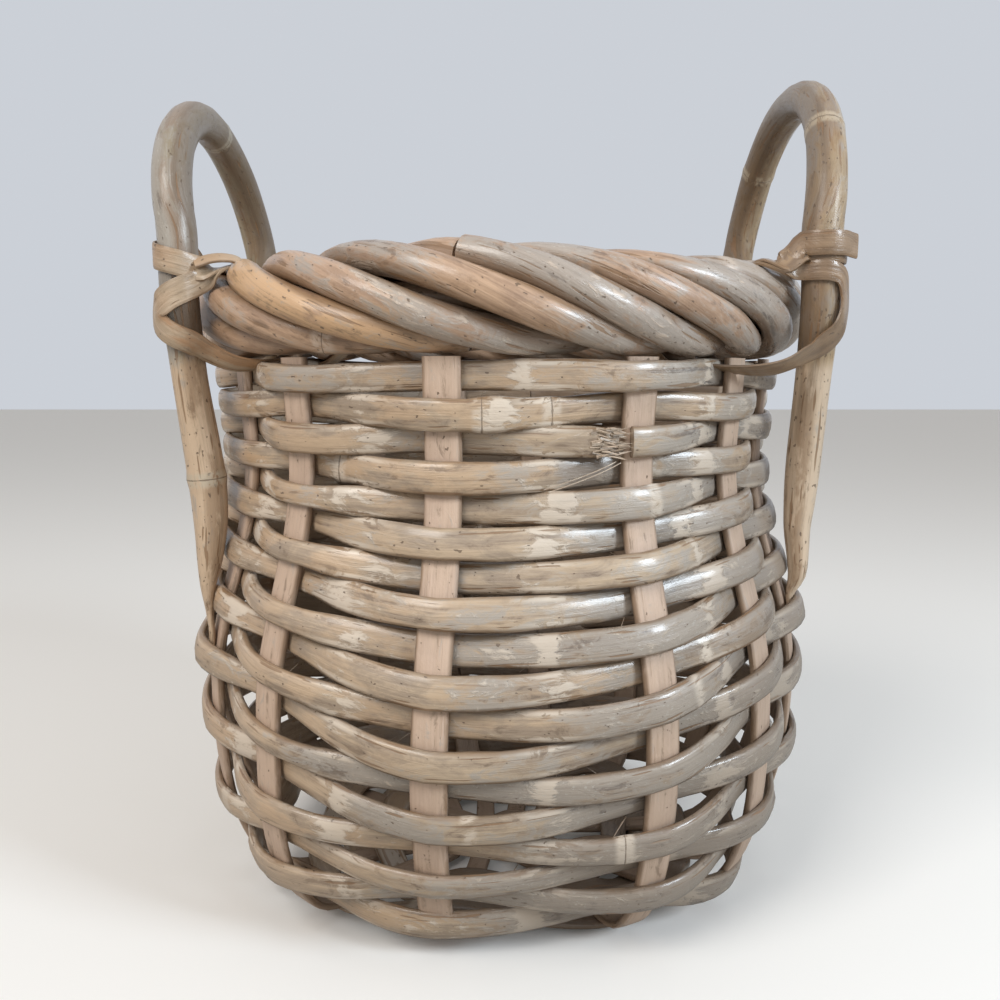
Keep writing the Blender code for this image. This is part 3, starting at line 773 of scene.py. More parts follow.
def cane_look(
    name, light, deep, warm, wash, bare=(1, 1, 1), worn=0.5, gloss=0.42, coat=0.15, shift=0.0, streaky=1.0,
    pits=0.735, inside=(0.1, -0.9, 0.42), scars=0.75
):
    """Rattan: two tones in streaks, a flaking pale wash, a grey film, brown scars, pits, growth rings, and
    painted shade at its edges and on its inner face.
    """
    tree = Tree(name)
    # dark: the cane's own darker tones, and painted shade where a piece sets it
    pale, shoulder, dark = tree.parts("wear_and_shade")
    warmth, coolness, seam = tree.parts("tint")
    side, out, knot = tree.parts("around")
    fibre = tree.noise(FIBRE, 3, shift)
    streak = tree.noise(STREAK, 4, shift + 5, roughness=0.6)
    patch = tree.noise(PATCH, 7, shift + 11, roughness=0.68, distortion=0.8)
    blotch = tree.noise(BLOTCH, 5, shift + 17, roughness=0.62)
    speck = tree.noise(SPECK, 3, shift + 23, roughness=0.7)
    off_middle = tree.maths("ABSOLUTE", side)

    # The bare cane, with a grey film and streaks of shadow. A negative dark is cane without any finish
    tones = tree.between(tree.total((streak, 0.38), (blotch, 0.30), (patch, 0.32)), 0.43, 0.57)
    colour = tree.mix(tones, deep, light)
    colour = tree.tint(colour, warm, warmth, tree.between(blotch, 0.40, 0.54))
    colour = tree.tint(colour, bare, dark, -1.0)
    film = tree.between(tree.total((coolness, 0.34), (blotch, 0.45), (patch, 0.55)), 0.56, 0.68)
    colour = tree.tint(colour, GREY_WASH, film, 0.78)
    shade = tree.between(tree.total((patch, 0.55), (streak, 0.45)), 0.46, 0.38)
    slate = tree.mix(tree.between(coolness, 0.15, 0.75), SHADOW, SLATE)
    colour = tree.tint(colour, slate, shade, tree.total((coolness, 0.28), (shade, 0.50)))
    colour = tree.tint(colour, SHADOW, tree.between(fibre, 0.50, 0.74), 0.26 * streaky)

    # The wash, flaked off in patches and left along the seams
    level = tree.total((pale, 0.16), (shoulder, 0.24), (patch, 0.70), (streak, 0.30))
    flaked = tree.between(level, 0.70 - 0.08 * worn, 0.785 - 0.08 * worn)
    rind = tree.product(seam, tree.between(off_middle, 0.50, 0.70), tree.between(patch, 0.44, 0.48))
    flaked = tree.maths("MAXIMUM", flaked, rind)
    colour = tree.tint(colour, wash, flaked, 0.84)
    colour = tree.tint(colour, FLECK, tree.between(speck, 0.62, 0.67), tree.between(coolness, 0.15, 0.7), 0.5)

    # Stains, dirt and painted shade, scars, pits and growth rings
    edge = tree.between(off_middle, 0.76, 0.97)
    colour = tree.tint(colour, SCAR, edge, tree.between(blotch, 0.40, 0.52), 0.55)
    # Painted shade along the cane's edges, where it meets its neighbours, broken up by streaks
    edge_shade = tree.product(edge, tree.between(streak, 0.36, 0.60))
    # Darkening from the dark mark, the painted edge shade, and painted shade on the inner face
    dirt_and_shade = tree.total((dark, 0.50), (edge_shade, 0.34), (tree.between(out, *inside[:2]), inside[2]))
    colour = tree.tint(colour, SHADOW, tree.maths("MINIMUM", dirt_and_shade, 0.85))
    lens = tree.between(tree.noise(LENS, 1, shift + 37), 0.635, 0.67)
    scar = tree.product(tree.between(off_middle, 0.35, 0.6), lens)
    colour = tree.tint(colour, SCAR, scar, scars)
    pit = tree.between(tree.noise(PIT, 1, shift + 29), pits, pits + 0.03)
    colour = tree.tint(colour, SHADOW, pit, 0.8)
    colour = tree.tint(colour, wash, tree.between(knot, 0.12, 0.6), tree.between(patch, 0.40, 0.50), 0.60)
    ring = tree.between(tree.total((knot, 1.0), (patch, 0.30)), 1.08, 1.12)
    colour = tree.tint(colour, SHADOW, ring, 0.7)
    tree.shade("Base Color", colour)

    rough = tree.total((flaked, 0.10), (patch, 0.60), (film, -0.10), (dirt_and_shade, 0.12))
    tree.shade("Roughness", tree.maths("ADD", rough, gloss - 0.32))
    tree.shade("Coat Weight", coat)
    tree.shade("Coat Roughness", 0.17)
    raised = [(fibre, 0.3), (streak, 0.7), (flaked, 0.35), (patch, 0.9)]
    sunk = [(pit, -0.8), (scar, -0.4), (ring, -0.5)]
    inputs = {"Strength": 0.8, "Distance": BUMP_HEIGHT, "Height": tree.total(*raised, *sunk)}
    tree.shade("Normal", tree.add("ShaderNodeBump", inputs))
    return tree.material


# Each look's inside setting paints shade on a cane's inner face: where it starts, where it is full, and how
# much
LOOKS = {
    "stake": cane_look(
        "stake_cane", (0.64, 0.475, 0.365), (0.56, 0.41, 0.31), (0.60, 0.44, 0.32), (0.66, 0.55, 0.44),
        worn=0.0, gloss=0.50, coat=0.05, streaky=0.35, pits=0.755, scars=0.12),
    "row": cane_look(
        "row_cane", (0.55, 0.42, 0.29), (0.36, 0.275, 0.20), (0.57, 0.385, 0.235), (0.71, 0.61, 0.50),
        bare=(0.66, 0.48, 0.335), coat=0.5, shift=3, inside=(0.1, -0.8, 0.6)),
    "rim": cane_look(
        "rim_cane", (0.575, 0.385, 0.26), (0.385, 0.245, 0.16), (0.64, 0.41, 0.23), (0.65, 0.53, 0.425),
        gloss=0.41, coat=0.38, shift=21, pits=0.715),
    "handle_left": cane_look(
        "handle_cane_left", (0.42, 0.35, 0.24), (0.32, 0.265, 0.18), (0.44, 0.33, 0.20), (0.55, 0.49, 0.38),
        bare=(0.68, 0.50, 0.345), worn=0.3, shift=39, pits=0.70, inside=(0.0, -0.5, 0.6)),
    "handle_right": cane_look(
        "handle_cane_right", (0.46, 0.345, 0.215), (0.35, 0.25, 0.15), (0.50, 0.33, 0.17), (0.56, 0.46, 0.33),
        bare=(0.68, 0.53, 0.39), worn=0.2, shift=45, pits=0.69, inside=(0.0, -0.5, 0.6)),
    "splinter": cane_look(
        "splintered_cane", (0.72, 0.60, 0.48), (0.46, 0.35, 0.26), (0.62, 0.46, 0.32), (0.78, 0.68, 0.56),
        worn=0.8, gloss=0.55, coat=0.0, shift=63, streaky=0.5),
    "strap_brown": cane_look(
        "strap_peel_brown", (0.31, 0.205, 0.125), (0.21, 0.135, 0.08), (0.40, 0.26, 0.14), (0.44, 0.34, 0.25),
        worn=0.0, gloss=0.34, coat=0.4, shift=51),
    "strap_pale": cane_look(
        "strap_peel_pale", (0.55, 0.42, 0.295), (0.43, 0.32, 0.215), (0.46, 0.275, 0.15), (0.62, 0.52, 0.40),
        worn=0.4, gloss=0.42, coat=0.25, shift=57),
}


# Stakes

def stake_stations(stake):
    """One stake from its top end under the rim down to the inner edge of the floor weavers."""
    rows = []
    for share in breaks_of(stake)[1]:
        azimuth = stake_azimuth(stake, share)
        upper = min(share + SLOPE_STEP_SHARE, 1)
        rise = wall_point(upper, azimuth) - wall_point(upper - 2 * SLOPE_STEP_SHARE, azimuth)
        normal = along_wall(azimuth).cross(rise).normalized()
        rows.append([*wall_point(share, azimuth), *normal, stake_width(share) / 2])
    return rows


def floor_stations(line, places, level, along, across):
    """The middle of a strip, which passes over and under the strips that it crosses."""
    rows = []
    lift = HALF_STAKE + CLEARANCE / 2
    for count, place_along in enumerate(places):
        height = FLOOR_LEVEL + (lift if (count + level) % 2 else -lift)
        centre = along * place_along + across * line + UP * height
        rows.append([*centre, *-UP, STRIP_CENTRE_WIDTH / 2])
    return rows


def make_strip(name, first, last, middle, seed):
    """A strip from one stake's top, under the floor, to the top of the stake across from it."""
    table = flow(stake_stations(first) + middle + stake_stations(last)[::-1], STAKE_STEP)
    cane = Cane(table[:, :3], table[:, 3:6], table[:, 6], STAKE_THICKNESS / 2)
    cane.swell(*STAKE_SWELL, seed)
    cane.offset = seed * 1.7
    cane.pale[:] = 0.1
    cane.warm[:] = 0.35
    cane.cool[:] = 0.0
    # Darker towards the bottom, partly its own tone and partly painted shade, and darker to the right,
    # painted shade
    height = cane.places[:, 2] / WALL_TOP
    to_right = np.clip(cane.places[:, 0] / BELLY_RADIUS, 0, 1)
    cane.dark = np.clip(0.16 * (1 - height) + 0.5 * to_right, 0, 1)
    sweep(name.replace("stake_strip", "stakes"), cane, FLAT, LOOKS["stake"], [name])


def spread(count):
    """Evenly pitched places about zero for the strips of one group."""
    return [(i - (count - 1) / 2) * STRIP_PITCH for i in range(count)]


def make_strips():
    """All the strips, those from front to back first."""
    across_places = spread(len(CROSS_STRIPS))
    long_places = spread(len(LONG_STRIPS))
    front_to_back, left_to_right = Vector((0, 1, 0)), Vector((1, 0, 0))
    for i, (front, back) in enumerate(LONG_STRIPS):
        middle = floor_stations(long_places[i], across_places, i, front_to_back, left_to_right)
        make_strip(f"stake_strip_long_{i + 1}", front, back, middle, SEEDS["long_strip"] + 10 * i)
    for i, (left, right) in enumerate(CROSS_STRIPS):
        middle = floor_stations(-across_places[i], long_places, i + 1, left_to_right, -front_to_back)
        make_strip(f"stake_strip_cross_{i + 1}", left, right, middle, SEEDS["cross_strip"] + 10 * i)


# Rows of weaving

def leg_azimuth(leg):
    """Azimuth of a leg at the rim."""
    side, front = LEG_SIGNS[leg]
    return side * (LEG_AZIMUTH if front > 0 else HALF_TURN - LEG_AZIMUTH)


def host_of(leg):
    """The stake and the weaver that hold a leg's foot between them."""
    at_leg = leg_azimuth(leg)
    stake = min(range(STAKES), key=lambda i: angle_between(STAKE_AZIMUTHS[i][0], at_leg))
    return stake, FOOT_WEAVER if is_outside(FOOT_WEAVER, stake) else FOOT_WEAVER + 1


def row_plan(weaver, first):
    """The crossings of a row once round, from one stake back to the same stake."""
    plan = []
    for count in range(STAKES + 1):
        stake = (first + count) % STAKES
        passing = crossing(stake, weaver)
        while plan and passing["azimuth"] < plan[-1]["azimuth"]:
            passing["azimuth"] += FULL_TURN
        fill = ROW_FILL if weaver <= LAST_CLOSE_ROW else LOW_ROW_FILL
        hosted = any((stake, weaver) == host_of(leg) for leg in LEG_SIGNS)
        passing["outside"] = is_outside(weaver, stake)
        passing["width"] = min(ROW_WIDTH, fill * passing["room"])
        passing["push"] = FOOT_TIP_THICKNESS + CLEARANCE if hosted else 0.0
        plan.append(passing)
    return plan


def backness(azimuth):
    """0 at the front and the sides, 1 at the back."""
    return max(0.0, -math.cos(math.radians(azimuth))) ** 0.5


def row_width(weaver, azimuth, width):
    """A row's width there: some are narrower at the front left, and all are wider behind."""
    first, last, at, reach, share = NARROWER
    if first <= weaver <= last:
        width *= 1 - share * bell(angle_between(azimuth, at), reach, 4)
    fill = next(fill for row, fill in BACK_FILL if weaver <= row)
    return width * (1 + fill * backness(azimuth))


def top_row_lift(azimuth):
    """How much further up the top row lies there."""
    everywhere, behind, under_slack = TOP_ROW_LIFTS
    pressed = bell(angle_between(azimuth, PRESSED_AZIMUTH), PRESSED_REACH, 4)
    return everywhere + behind * backness(azimuth) + under_slack * pressed


def row_station(weaver, here, beyond, part, length):
    """Part of the way between two crossings: place, way out, width, how far outside it is, and azimuth."""
    bulge = SIDE_BULGE if here["stake"] == SIDE_BULGE_STAKE and weaver <= SIDE_BULGE_ROWS else ROW_BULGE
    outness = 1 - ease(part) if here["outside"] else ease(part)
    offset = WEAVE_OFFSET * (2 * outness - 1) + bulge * math.sin(math.pi * part) ** 2
    for end, near in ((here, part * length), (beyond, (1 - part) * length)):
        offset += end["push"] * bell(near, PUSH_REACH)
    azimuth, chord, delta, normal, rise, width = (
        here[key] + (beyond[key] - here[key]) * part
        for key in ("azimuth", "centre", "delta", "normal", "rise", "width")
    )
    arc = np.array(wall_point(weaver_share(weaver, azimuth), azimuth)) + delta
    lean, push, lift, fill = LOW_ROWS.get(weaver, PLAIN_ROW)
    level = np.array(outward(azimuth))
    normal = normal / np.linalg.norm(normal) * (1 - lean) + level * lean
    normal = normal / np.linalg.norm(normal)
    place = chord + ROW_BOW * (arc - chord) + normal * offset - rise * ROW_DROP * (2 * outness - 1)
    place = place + level * push * outness + np.array(UP) * lift
    if weaver == 1:
        place += rise * top_row_lift(azimuth)
    return place, normal, row_width(weaver, azimuth, width * fill), outness, azimuth


def row_line(weaver, first):
    """A row once round: inside one stake, outside the next, bowed between them, and lower where outside."""
    plan = row_plan(weaver, first)
    draws = random.Random(SEEDS["row_smears"] + weaver)
    rows = []
    for here, beyond in zip(plan, plan[1:]):
        smear_at, reach = draws.uniform(*SMEAR_PLACES), draws.uniform(*SMEAR_REACHES) * MM
        smear = draws.uniform(*SMEARS)
        if here["stake"] == SMEARED_STAKE and weaver <= SMEARED_ROWS:
            smear, reach = FULL_SMEAR
        length = float(np.linalg.norm(beyond["centre"] - here["centre"]))
        count = math.ceil(length / ROW_STEP)
        for part in np.arange(count) / count:
            place, normal, width, outness, azimuth = row_station(weaver, here, beyond, part, length)
            emerging = 1 - part if here["outside"] else part
            shoulder = smear * bell((emerging - smear_at) * length, reach)
            seam = bell((part - 0.5) * length, SEAM_REACH)
            rows.append([*place, *normal, width, outness, shoulder, azimuth % FULL_TURN, seam])
    rows.append(rows[0])
    return np.array(rows)


def colour_row(cane, azimuths, weaver):
    """Warmer to the left and greyer to the right, partly painted warm and cool light; darker to the right and
    towards the floor, partly painted shade; with worn places of its own.
    """
    seed = SEEDS["row_colour"] + 10 * weaver
    side = np.sin(np.radians(azimuths))
    low = (min(weaver, WALL_WEAVERS) - 1) / (WALL_WEAVERS - 1)
    own = random.Random(seed).uniform(-1, 1)
    slow = wander(cane.lengths, 90 * MM, seed)
    quick = wander(cane.lengths, 35 * MM, seed + 1)
    # Painted shade at the far right
    far = 0.5 * np.clip(2 * side - 1, 0, 1)
    # Warmer to the left: partly the cane's own tone, partly painted warm light from the left
    cane.warm = np.clip(0.36 - 0.30 * side - 0.2 * low + 0.20 * own + 0.25 * slow, 0, 1)
    # Greyer and darker towards the bottom right: partly the cane's own tone, partly painted shade
    grey = 0.46 * low * (1 + side) / 1.4
    # Greyer to the right: partly the cane's own tone, partly painted cool light from the right
    cane.cool = np.clip(0.08 + 0.34 * side + grey - 0.15 * own + 0.3 * quick, -0.2, 1)
    if weaver == 1:
        cane.cool = np.clip(cane.cool + 0.35, 0, 1)
    cane.pale = np.clip(0.42 + 0.40 * quick + 0.2 * slow + 0.16 * low, 0, 1)
    # Darker towards the floor, most to the right, partly its own tone and partly painted shade; the far right
    # is painted shade
    cane.dark = np.clip(0.02 + (0.42 + 1.0 * side) * low + far + 0.12 * own * slow + 0.10 * quick, -0.3, 1)
    # Painted shade in the split's hollow under its strands: darker and greyer there
    if weaver == SPLIT_ROW:
        split = bell(angle_between(azimuths, SPLIT_DARK_AZIMUTH), SPLIT_DARK_REACH, 4)
        cane.dark = np.maximum(cane.dark, 1.3 * split)
        cane.cool = np.maximum(cane.cool, split)


def row_cane(weaver, first):
    """A row's cane with its uneven width, its knots and its colours."""
    table = row_line(weaver, first)
    width, outness, shoulder, azimuths, seam = table[:, 6:].T
    cane = Cane(table[:, :3], table[:, 3:6], width / 2, WEAVER_THICKNESS / 2)
    cane.half_wide *= 1 - ROW_SQUEEZE * (1 - outness)
    cane.shoulder, cane.seam = shoulder, seam
    cane.half_thick *= 1 + SHOULDER_SWELLING * shoulder
    step = 10 * weaver
    cane.roughen("row", SEEDS["row"] + step, SEEDS["row_lumps"] + step, SEEDS["row_drift"] + step)
    cane.offset = weaver * 2.3
    gap = unit(cane.places[1:2] - cane.places[:1])[0] * CANE_BUTT_GAP / 2
    cane.places[0] += gap
    cane.places[-1] = cane.places[0] - 2 * gap
    cane.add_knots("row", SEEDS["row_knots"] + weaver)
    for row, azimuth, swelling in ROW_KNOTS + ROW_BUMPS:
        if row != weaver:
            continue
        at = cane.lengths[np.argmin(angle_between(azimuths, azimuth))]
        if (row, azimuth, swelling) in ROW_KNOTS:
            cane.add_knot(at, swelling, KNOT_REACH)
        else:
            bump = bell(cane.lengths - at, BUMP_REACH)
            cane.half_wide *= 1 + swelling * bump
            cane.half_thick *= 1 + 2 * swelling * bump
            cane.shoulder = np.maximum(cane.shoulder, bump)
    colour_row(cane, azimuths, weaver)
    return cane


def tear(cane):
    """Ends a row short of where it began with a thin broken tip, and starts it as much sooner."""
    keep = np.searchsorted(cane.lengths, cane.lengths[-1] - TORN_SHIFT)
    lead = cane.places[:1] + unit(cane.places[-2:-1] - cane.places[-1:]) * TORN_SHIFT
    for name in ("places", "outs", "half_wide", "half_thick", *MARKS):
        values = getattr(cane, name)
        first = lead if name == "places" else values[:1]
        setattr(cane, name, np.concatenate([first, values[:keep]]))
    cane.lengths = running_length(cane.places)
    cane.half_wide[-2:] *= TORN_WIDTHS
    cane.half_thick[-2:] *= TORN_THICKNESSES
    cane.pale[-4:] = 1.0


def strand(places, out, half_wide, half_thick, offset, **marks):
    """A thin strand, which is marked alike all along."""
    made = Cane(places, [out] * len(places), half_wide, half_thick)
    made.offset = offset
    for name, value in marks.items():
        getattr(made, name)[:] = value
    return made


def torn_end(cane):
    """Chips and splinters about a cane's last ring, which is broken off rather than cut."""
    draws = random.Random(SEEDS["torn_end"])
    travel = unit(cane.places[-1:] - cane.places[-2:-1])[0]
    out = unit(cane.outs[-1:])[0]
    across = np.cross(travel, out)
    parts = np.linspace(0, 1, 4)
    taper = 1.05 - parts ** 2
    strands = []
    for number, depths, backs, reaches, slants, widths in TORN_KINDS:
        for _ in range(number):
            start = cane.places[-1] + across * draws.uniform(-TORN_SPREAD, TORN_SPREAD) * cane.half_wide[-3]
            start += out * draws.uniform(*depths) * cane.half_thick[-3]
            start -= travel * draws.uniform(*backs) * MM
            reach = draws.uniform(*reaches) * MM
            slant = travel + across * draws.uniform(-TORN_SLANT, TORN_SLANT) + out * draws.uniform(*slants)
            slant /= np.linalg.norm(slant)
            curls = [out * draws.uniform(0.1, 0.7) * MM for _ in parts]
            places = [start + slant * reach * part + curl * part ** 2 for part, curl in zip(parts, curls)]
            wide = draws.uniform(*widths) * MM * taper
            lean = out + across * draws.uniform(-0.8, 0.8)
            pale, dark = draws.uniform(0.0, 1.0), draws.choice((0.0, 0.1, 0.35, 0.7, 1.0))
            cool, offset = draws.uniform(-0.3, 0.5), draws.uniform(0, 9)
            marks = {"pale": pale, "dark": dark, "cool": cool}
            strands.append(strand(places, lean, wide, TORN_FLATNESS * wide, offset, **marks))
    return strands


def first_stake(weaver):
    """The stake where a row's ends meet: behind the basket, or where the broken row is seen."""
    if weaver == TORN_ROW:
        return TORN_STAKE
    return next(stake for stake in BACK_STAKES if not is_outside(weaver, stake))


def make_rows():
    """All rows, and the splinters of the broken one."""
    for weaver in range(1, WEAVERS + 1):
        cane = row_cane(weaver, first_stake(weaver))
        if weaver == TORN_ROW:
            tear(cane)
            sweep(f"row_{weaver:02d}_splinters", torn_end(cane), STRAND, LOOKS["splinter"])
        part = "wall" if weaver <= WALL_WEAVERS else "floor"
        sweep(f"row_{weaver:02d}", cane, HALF_ROUND, LOOKS["row"], [f"weaver_{weaver:02d}_{part}"])


def split_strand(number, half_wide):
    """One of the strands that lie across the split in one row."""
    first, last = SPLIT_AZIMUTHS
    places = []
    start, rise = (base + step * number for base, step in (SPLIT_START, SPLIT_RISE))
    near, middle, far = SPLIT_STANDOFFS
    for part in np.linspace(0, 1, 8):
        azimuth = first + (last - first) * part + SPLIT_STEP_DEGREES * number
        share = weaver_share(SPLIT_ROW, azimuth) + start + rise * part
        standoff = (near + middle * math.sin(math.pi * part) + far * part ** 3) * MM
        reach = HALF_STAKE + WEAVER_THICKNESS + standoff
        places.append(wall_point(share, azimuth) + outward(azimuth) * reach)
    return strand(places, outward(azimuth), half_wide, 0.2 * MM, 3.0 + number, cool=-0.3, pale=1.0, seam=1.0)


def loose_strand(draws):
    """A fibre that sticks out of a gap between two rows."""
    weaver = draws.choice(FIBRE_ROWS)
    azimuth = draws.uniform(0, FULL_TURN)
    share = weaver_share(weaver, azimuth) + draws.uniform(-0.024, 0.012)
    base = wall_point(share, azimuth) - outward(azimuth) * draws.uniform(2, 7) * MM
    direction = along_wall(azimuth) * draws.uniform(-1, 1) + UP * draws.uniform(-0.7, 0.7)
    direction = direction.normalized() * draws.uniform(6, 18) * MM
    bend = (outward(azimuth) * draws.uniform(-3, 1.5) + UP * draws.uniform(-3, 3)) * MM
    parts = np.linspace(0, 1, 6)
    places = [base + direction * part + bend * part ** 2 for part in parts]
    thick = draws.uniform(0.12, 0.3) * MM * (1.1 - parts)
    pale, offset = draws.uniform(0.2, 0.9), draws.uniform(0, 9)
    return strand(places, outward(azimuth), thick, thick, offset, pale=pale)


def make_fibres():
    """The strands across the split in one row, and loose fibres all round."""
    draws = random.Random(SEEDS["fibres"])
    widths = [draws.uniform(*SPLIT_STRAND_WIDTHS) * MM for _ in range(SPLIT_STRANDS)]
    strands = [split_strand(number, width) for number, width in enumerate(widths)]
    strands += [loose_strand(draws) for _ in range(LOOSE_FIBRES)]
    sweep("loose_fibres", strands, STRAND, LOOKS["splinter"])


# Rim rope

def rope_point(azimuth, lay_angle, lay_radius):
    """A point in the rim rope: the lay angle is 0 at the top and 90 degrees at the outer side."""
    angle = math.radians(lay_angle)
    radius = RIM_RADIUS + lay_radius * math.sin(angle)
    return outward(azimuth) * radius + UP * (RIM_HEIGHT + lay_radius * math.cos(angle))


def rim_shape(azimuth):
    """How much wider and higher the rope is laid there: full at the front left, slack at the front right."""
    at, reach, wider, higher = np.array(ROPE_SHAPES).T
    amount = bell(angle_between(azimuth, at), reach)
    return float(amount @ wider), float(amount @ higher)


def colour_rim(cane, azimuths, number, seed):
    """Brown with grey and pale patches, and one bright tan length at the front left."""
    slow = wander(cane.lengths, 110 * MM, seed)
    quick = wander(cane.lengths, 40 * MM, seed + 1)
    side = np.sin(np.radians(azimuths))
    cane.warm = np.clip(0.12 + 0.22 * slow, 0, 1)
    # Greyer to the right: partly the cane's own tone, partly painted cool light from the right
    cane.cool = np.clip(0.26 + 0.34 * side + 0.3 * quick, 0, 1)
    cane.pale = np.clip(0.42 + 0.45 * quick, 0, 1)
    cane.dark = np.clip(0.10 + 0.14 * slow + 0.06 * quick, 0, 1)
    if number == BRIGHT_CANE:
        bright = bell(angle_between(azimuths, BRIGHT_AZIMUTH), BRIGHT_REACH, 4)
        cane.warm = np.maximum(cane.warm, bright)
        cane.cool *= 1 - bright
        cane.dark *= 1 - bright
        cane.pale *= 1 - 0.8 * bright
    if number == SPOTTED_CANE:
        spot = bell(angle_between(azimuths, SPOT_AZIMUTH), SPOT_REACH)
        cane.warm = np.maximum(cane.warm, 0.7 * spot)


def rim_cane(number):
    """One of the rope's canes, once round from butt to butt, with a lay that is a little uneven."""
    butts = RIM_CANES // 2
    half_gap = math.degrees(CANE_BUTT_GAP / RIM_RADIUS) / 2
    first_azimuth = FIRST_BUTT_AZIMUTH + FULL_TURN * number / butts
    twist = TURNS_PER_ROUND * (first_azimuth - FIRST_BUTT_AZIMUTH)
    first_angle = FIRST_BUTT_LAY_ANGLE + twist + FULL_TURN * (number % butts) / RIM_CANES
    travels = np.linspace(half_gap, FULL_TURN - half_gap, round(FULL_TURN / RIM_STEP_DEGREES) + 1)
    seed = SEEDS["rim"] + 10 * number
    fade = np.clip(np.minimum(travels, FULL_TURN - travels) / LAY_FADE, 0, 1)
    lays = LAY_WANDER * wander(travels, LAY_WAVE, seed + 5) * fade
    places, outs = [], []
    for travel, lay in zip(travels, lays):
        azimuth, lay_angle = first_azimuth + travel, first_angle + TURNS_PER_ROUND * travel + lay
        wider, higher = rim_shape(azimuth)
        places.append(rope_point(azimuth, lay_angle, RIM_LAY_RADIUS + wider) + UP * higher)
        outs.append(places[-1] - rope_point(azimuth, 0, 0))
    across, out = (RIM_CANE_DIAMETER / 2 * share for share in RIM_CANE_SHARES)
    cane = Cane(places, outs, across, out)
    cane.roughen("rim", seed, seed + 20, seed + 6)
    cane.add_knots("rim", seed)
    cane.offset = 100 + 3.1 * number
    colour_rim(cane, first_azimuth + travels, number, seed)
    return cane


def make_rim():
    """The hoop inside the rope, and the rope's canes."""
    azimuths = HALF_TURN + np.linspace(0, FULL_TURN - CORE_GAP_DEGREES, CORE_STEPS + 1)
    places = [rope_point(azimuth, 0, 0) for azimuth in azimuths]
    core = Cane(places, [UP] * len(places), CORE_DIAMETER / 2, CORE_DIAMETER / 2)
    core.offset = 90
    sweep("rim_core_cane", core, HOOP, LOOKS["rim"], ["rim_core"])
    for number in range(RIM_CANES):
        name = f"rim_rope_{number + 1}"
        sweep(name, rim_cane(number), ROUND, LOOKS["rim"], [f"rim_cane_{number + 1}"])


# Handles

def leg_centre(leg, low, height):
    """Centre of a leg at a height: it slants from its low end to the rim, and is upright above."""
    at_rim = outward(leg_azimuth(leg)) * LEG_RADIUS
    centre = low.lerp(at_rim, min(1, (height - low.z) / (RIM_HEIGHT - low.z)))
    centre.z = height
    return centre


def leg_line(leg):
    """From the tip of a handle's foot up to the rim: centre, way out, half thickness and half width."""
    host, weaver = host_of(leg)
    breaks = breaks_of(host)[1]
    side = leg.split("_")[0]
    tip_thickness, tip_width = FOOT_TIPS[side]
    line = []
    behind = HALF_STAKE + CLEARANCE
    clear = behind + WEAVER_THICKNESS + CLEARANCE
    flat = crossing(host, weaver)
    middle, rise, normal = (Vector(flat[key]) for key in ("centre", "rise", "normal"))
    for end in (flat["room"] / 2, -flat["room"] / 2):
        centre = middle - rise * end + normal * (behind + tip_thickness / 2)
        line.append((centre, normal, tip_thickness / 2, tip_width / 2))
    for count, (thickness, width, standoff) in enumerate(FOOT_STATIONS[side]):
        share = breaks[weaver - 2 - count]
        azimuth = stake_azimuth(host, share)
        out = outward(azimuth)
        centre = wall_point(share, azimuth) + out * (clear + (standoff + thickness / 2) * MM)
        line.append((centre, out, thickness / 2 * MM, width / 2 * MM))
    low = line[-1][0]
    for height, radius in zip((WALL_TOP, RIM_HEIGHT, SPRING_HEIGHT), (*LEG_RADII, HANDLE_RADIUS)):
        line.append((leg_centre(leg, low, height), outward(leg_azimuth(leg)), radius, radius))
    return line


def colour_handle(cane, side, seed):
    """Grey to tan, with painted shade inside the straps' loops, darker behind, and bare below the rim."""
    height = cane.places[:, 2]
    slow = wander(cane.lengths, 80 * MM, seed + 9)
    leg = np.clip((WALL_TOP + 6 * MM - height) / (10 * MM), 0, 1)
    # Painted shade on the leg inside each strap's loop
    in_loop = np.clip((SPRING_HEIGHT - 8 * MM - height) / (8 * MM), 0, 1) * (1 - leg)
    behind = np.clip(cane.places[:, 1] / (40 * MM), 0, 1)
    cane.warm = np.clip(0.35 + 0.3 * slow, 0, 1)
    cane.cool = np.clip(0.35 - 0.3 * slow - (0.15 if side > 0 else 0), 0, 1) * (1 - 0.8 * leg)
    cane.dark = (np.clip(0.06 + 0.06 * slow, 0, 1) + 0.3 * behind) * (1 - leg) + 0.7 * in_loop - 0.85 * leg


def make_handle(name, side, rise_above_rim):
    """A hoop handle from its front foot, over the arch, to its back foot."""
    front = leg_line(f"{name}_front")
    back = leg_line(f"{name}_back")
    spring = front[-1][0]
    rise = RIM_HEIGHT + rise_above_rim - HANDLE_RADIUS - spring.z
    arch = []
    for step in range(1, ARCH_STEPS):
        angle = math.pi * step / ARCH_STEPS
        x = spring.x + side * HANDLE_LEAN * math.sin(angle)
        centre = Vector((x, spring.y * math.cos(angle), spring.z + rise * math.sin(angle)))
        arch.append((centre, Vector((side, 0, 0)), HANDLE_RADIUS, HANDLE_RADIUS))
    rows = [[*centre, *out, thick, wide] for centre, out, thick, wide in front + arch + back[::-1]]
    table = flow(rows, HANDLE_STEP)
    cane = Cane(table[:, :3], table[:, 3:6], table[:, 7], table[:, 6])
    seed = SEEDS[f"handle_{name}"]
    for at, swelling in HANDLE_KNOTS[name]:
        nearest = np.argmin(abs(cane.lengths - at * cane.lengths[-1]))
        cane.add_knot(cane.lengths[nearest], swelling, RING_REACHES["handle"])
    cane.roughen("handle", seed, seed + 20, seed + 6)
    cane.offset = 120 + side
    colour_handle(cane, side, seed)
    sweep(f"hoop_{name}", cane, ROUND, LOOKS[f"handle_{name}"], [f"handle_{name}"])


# Straps

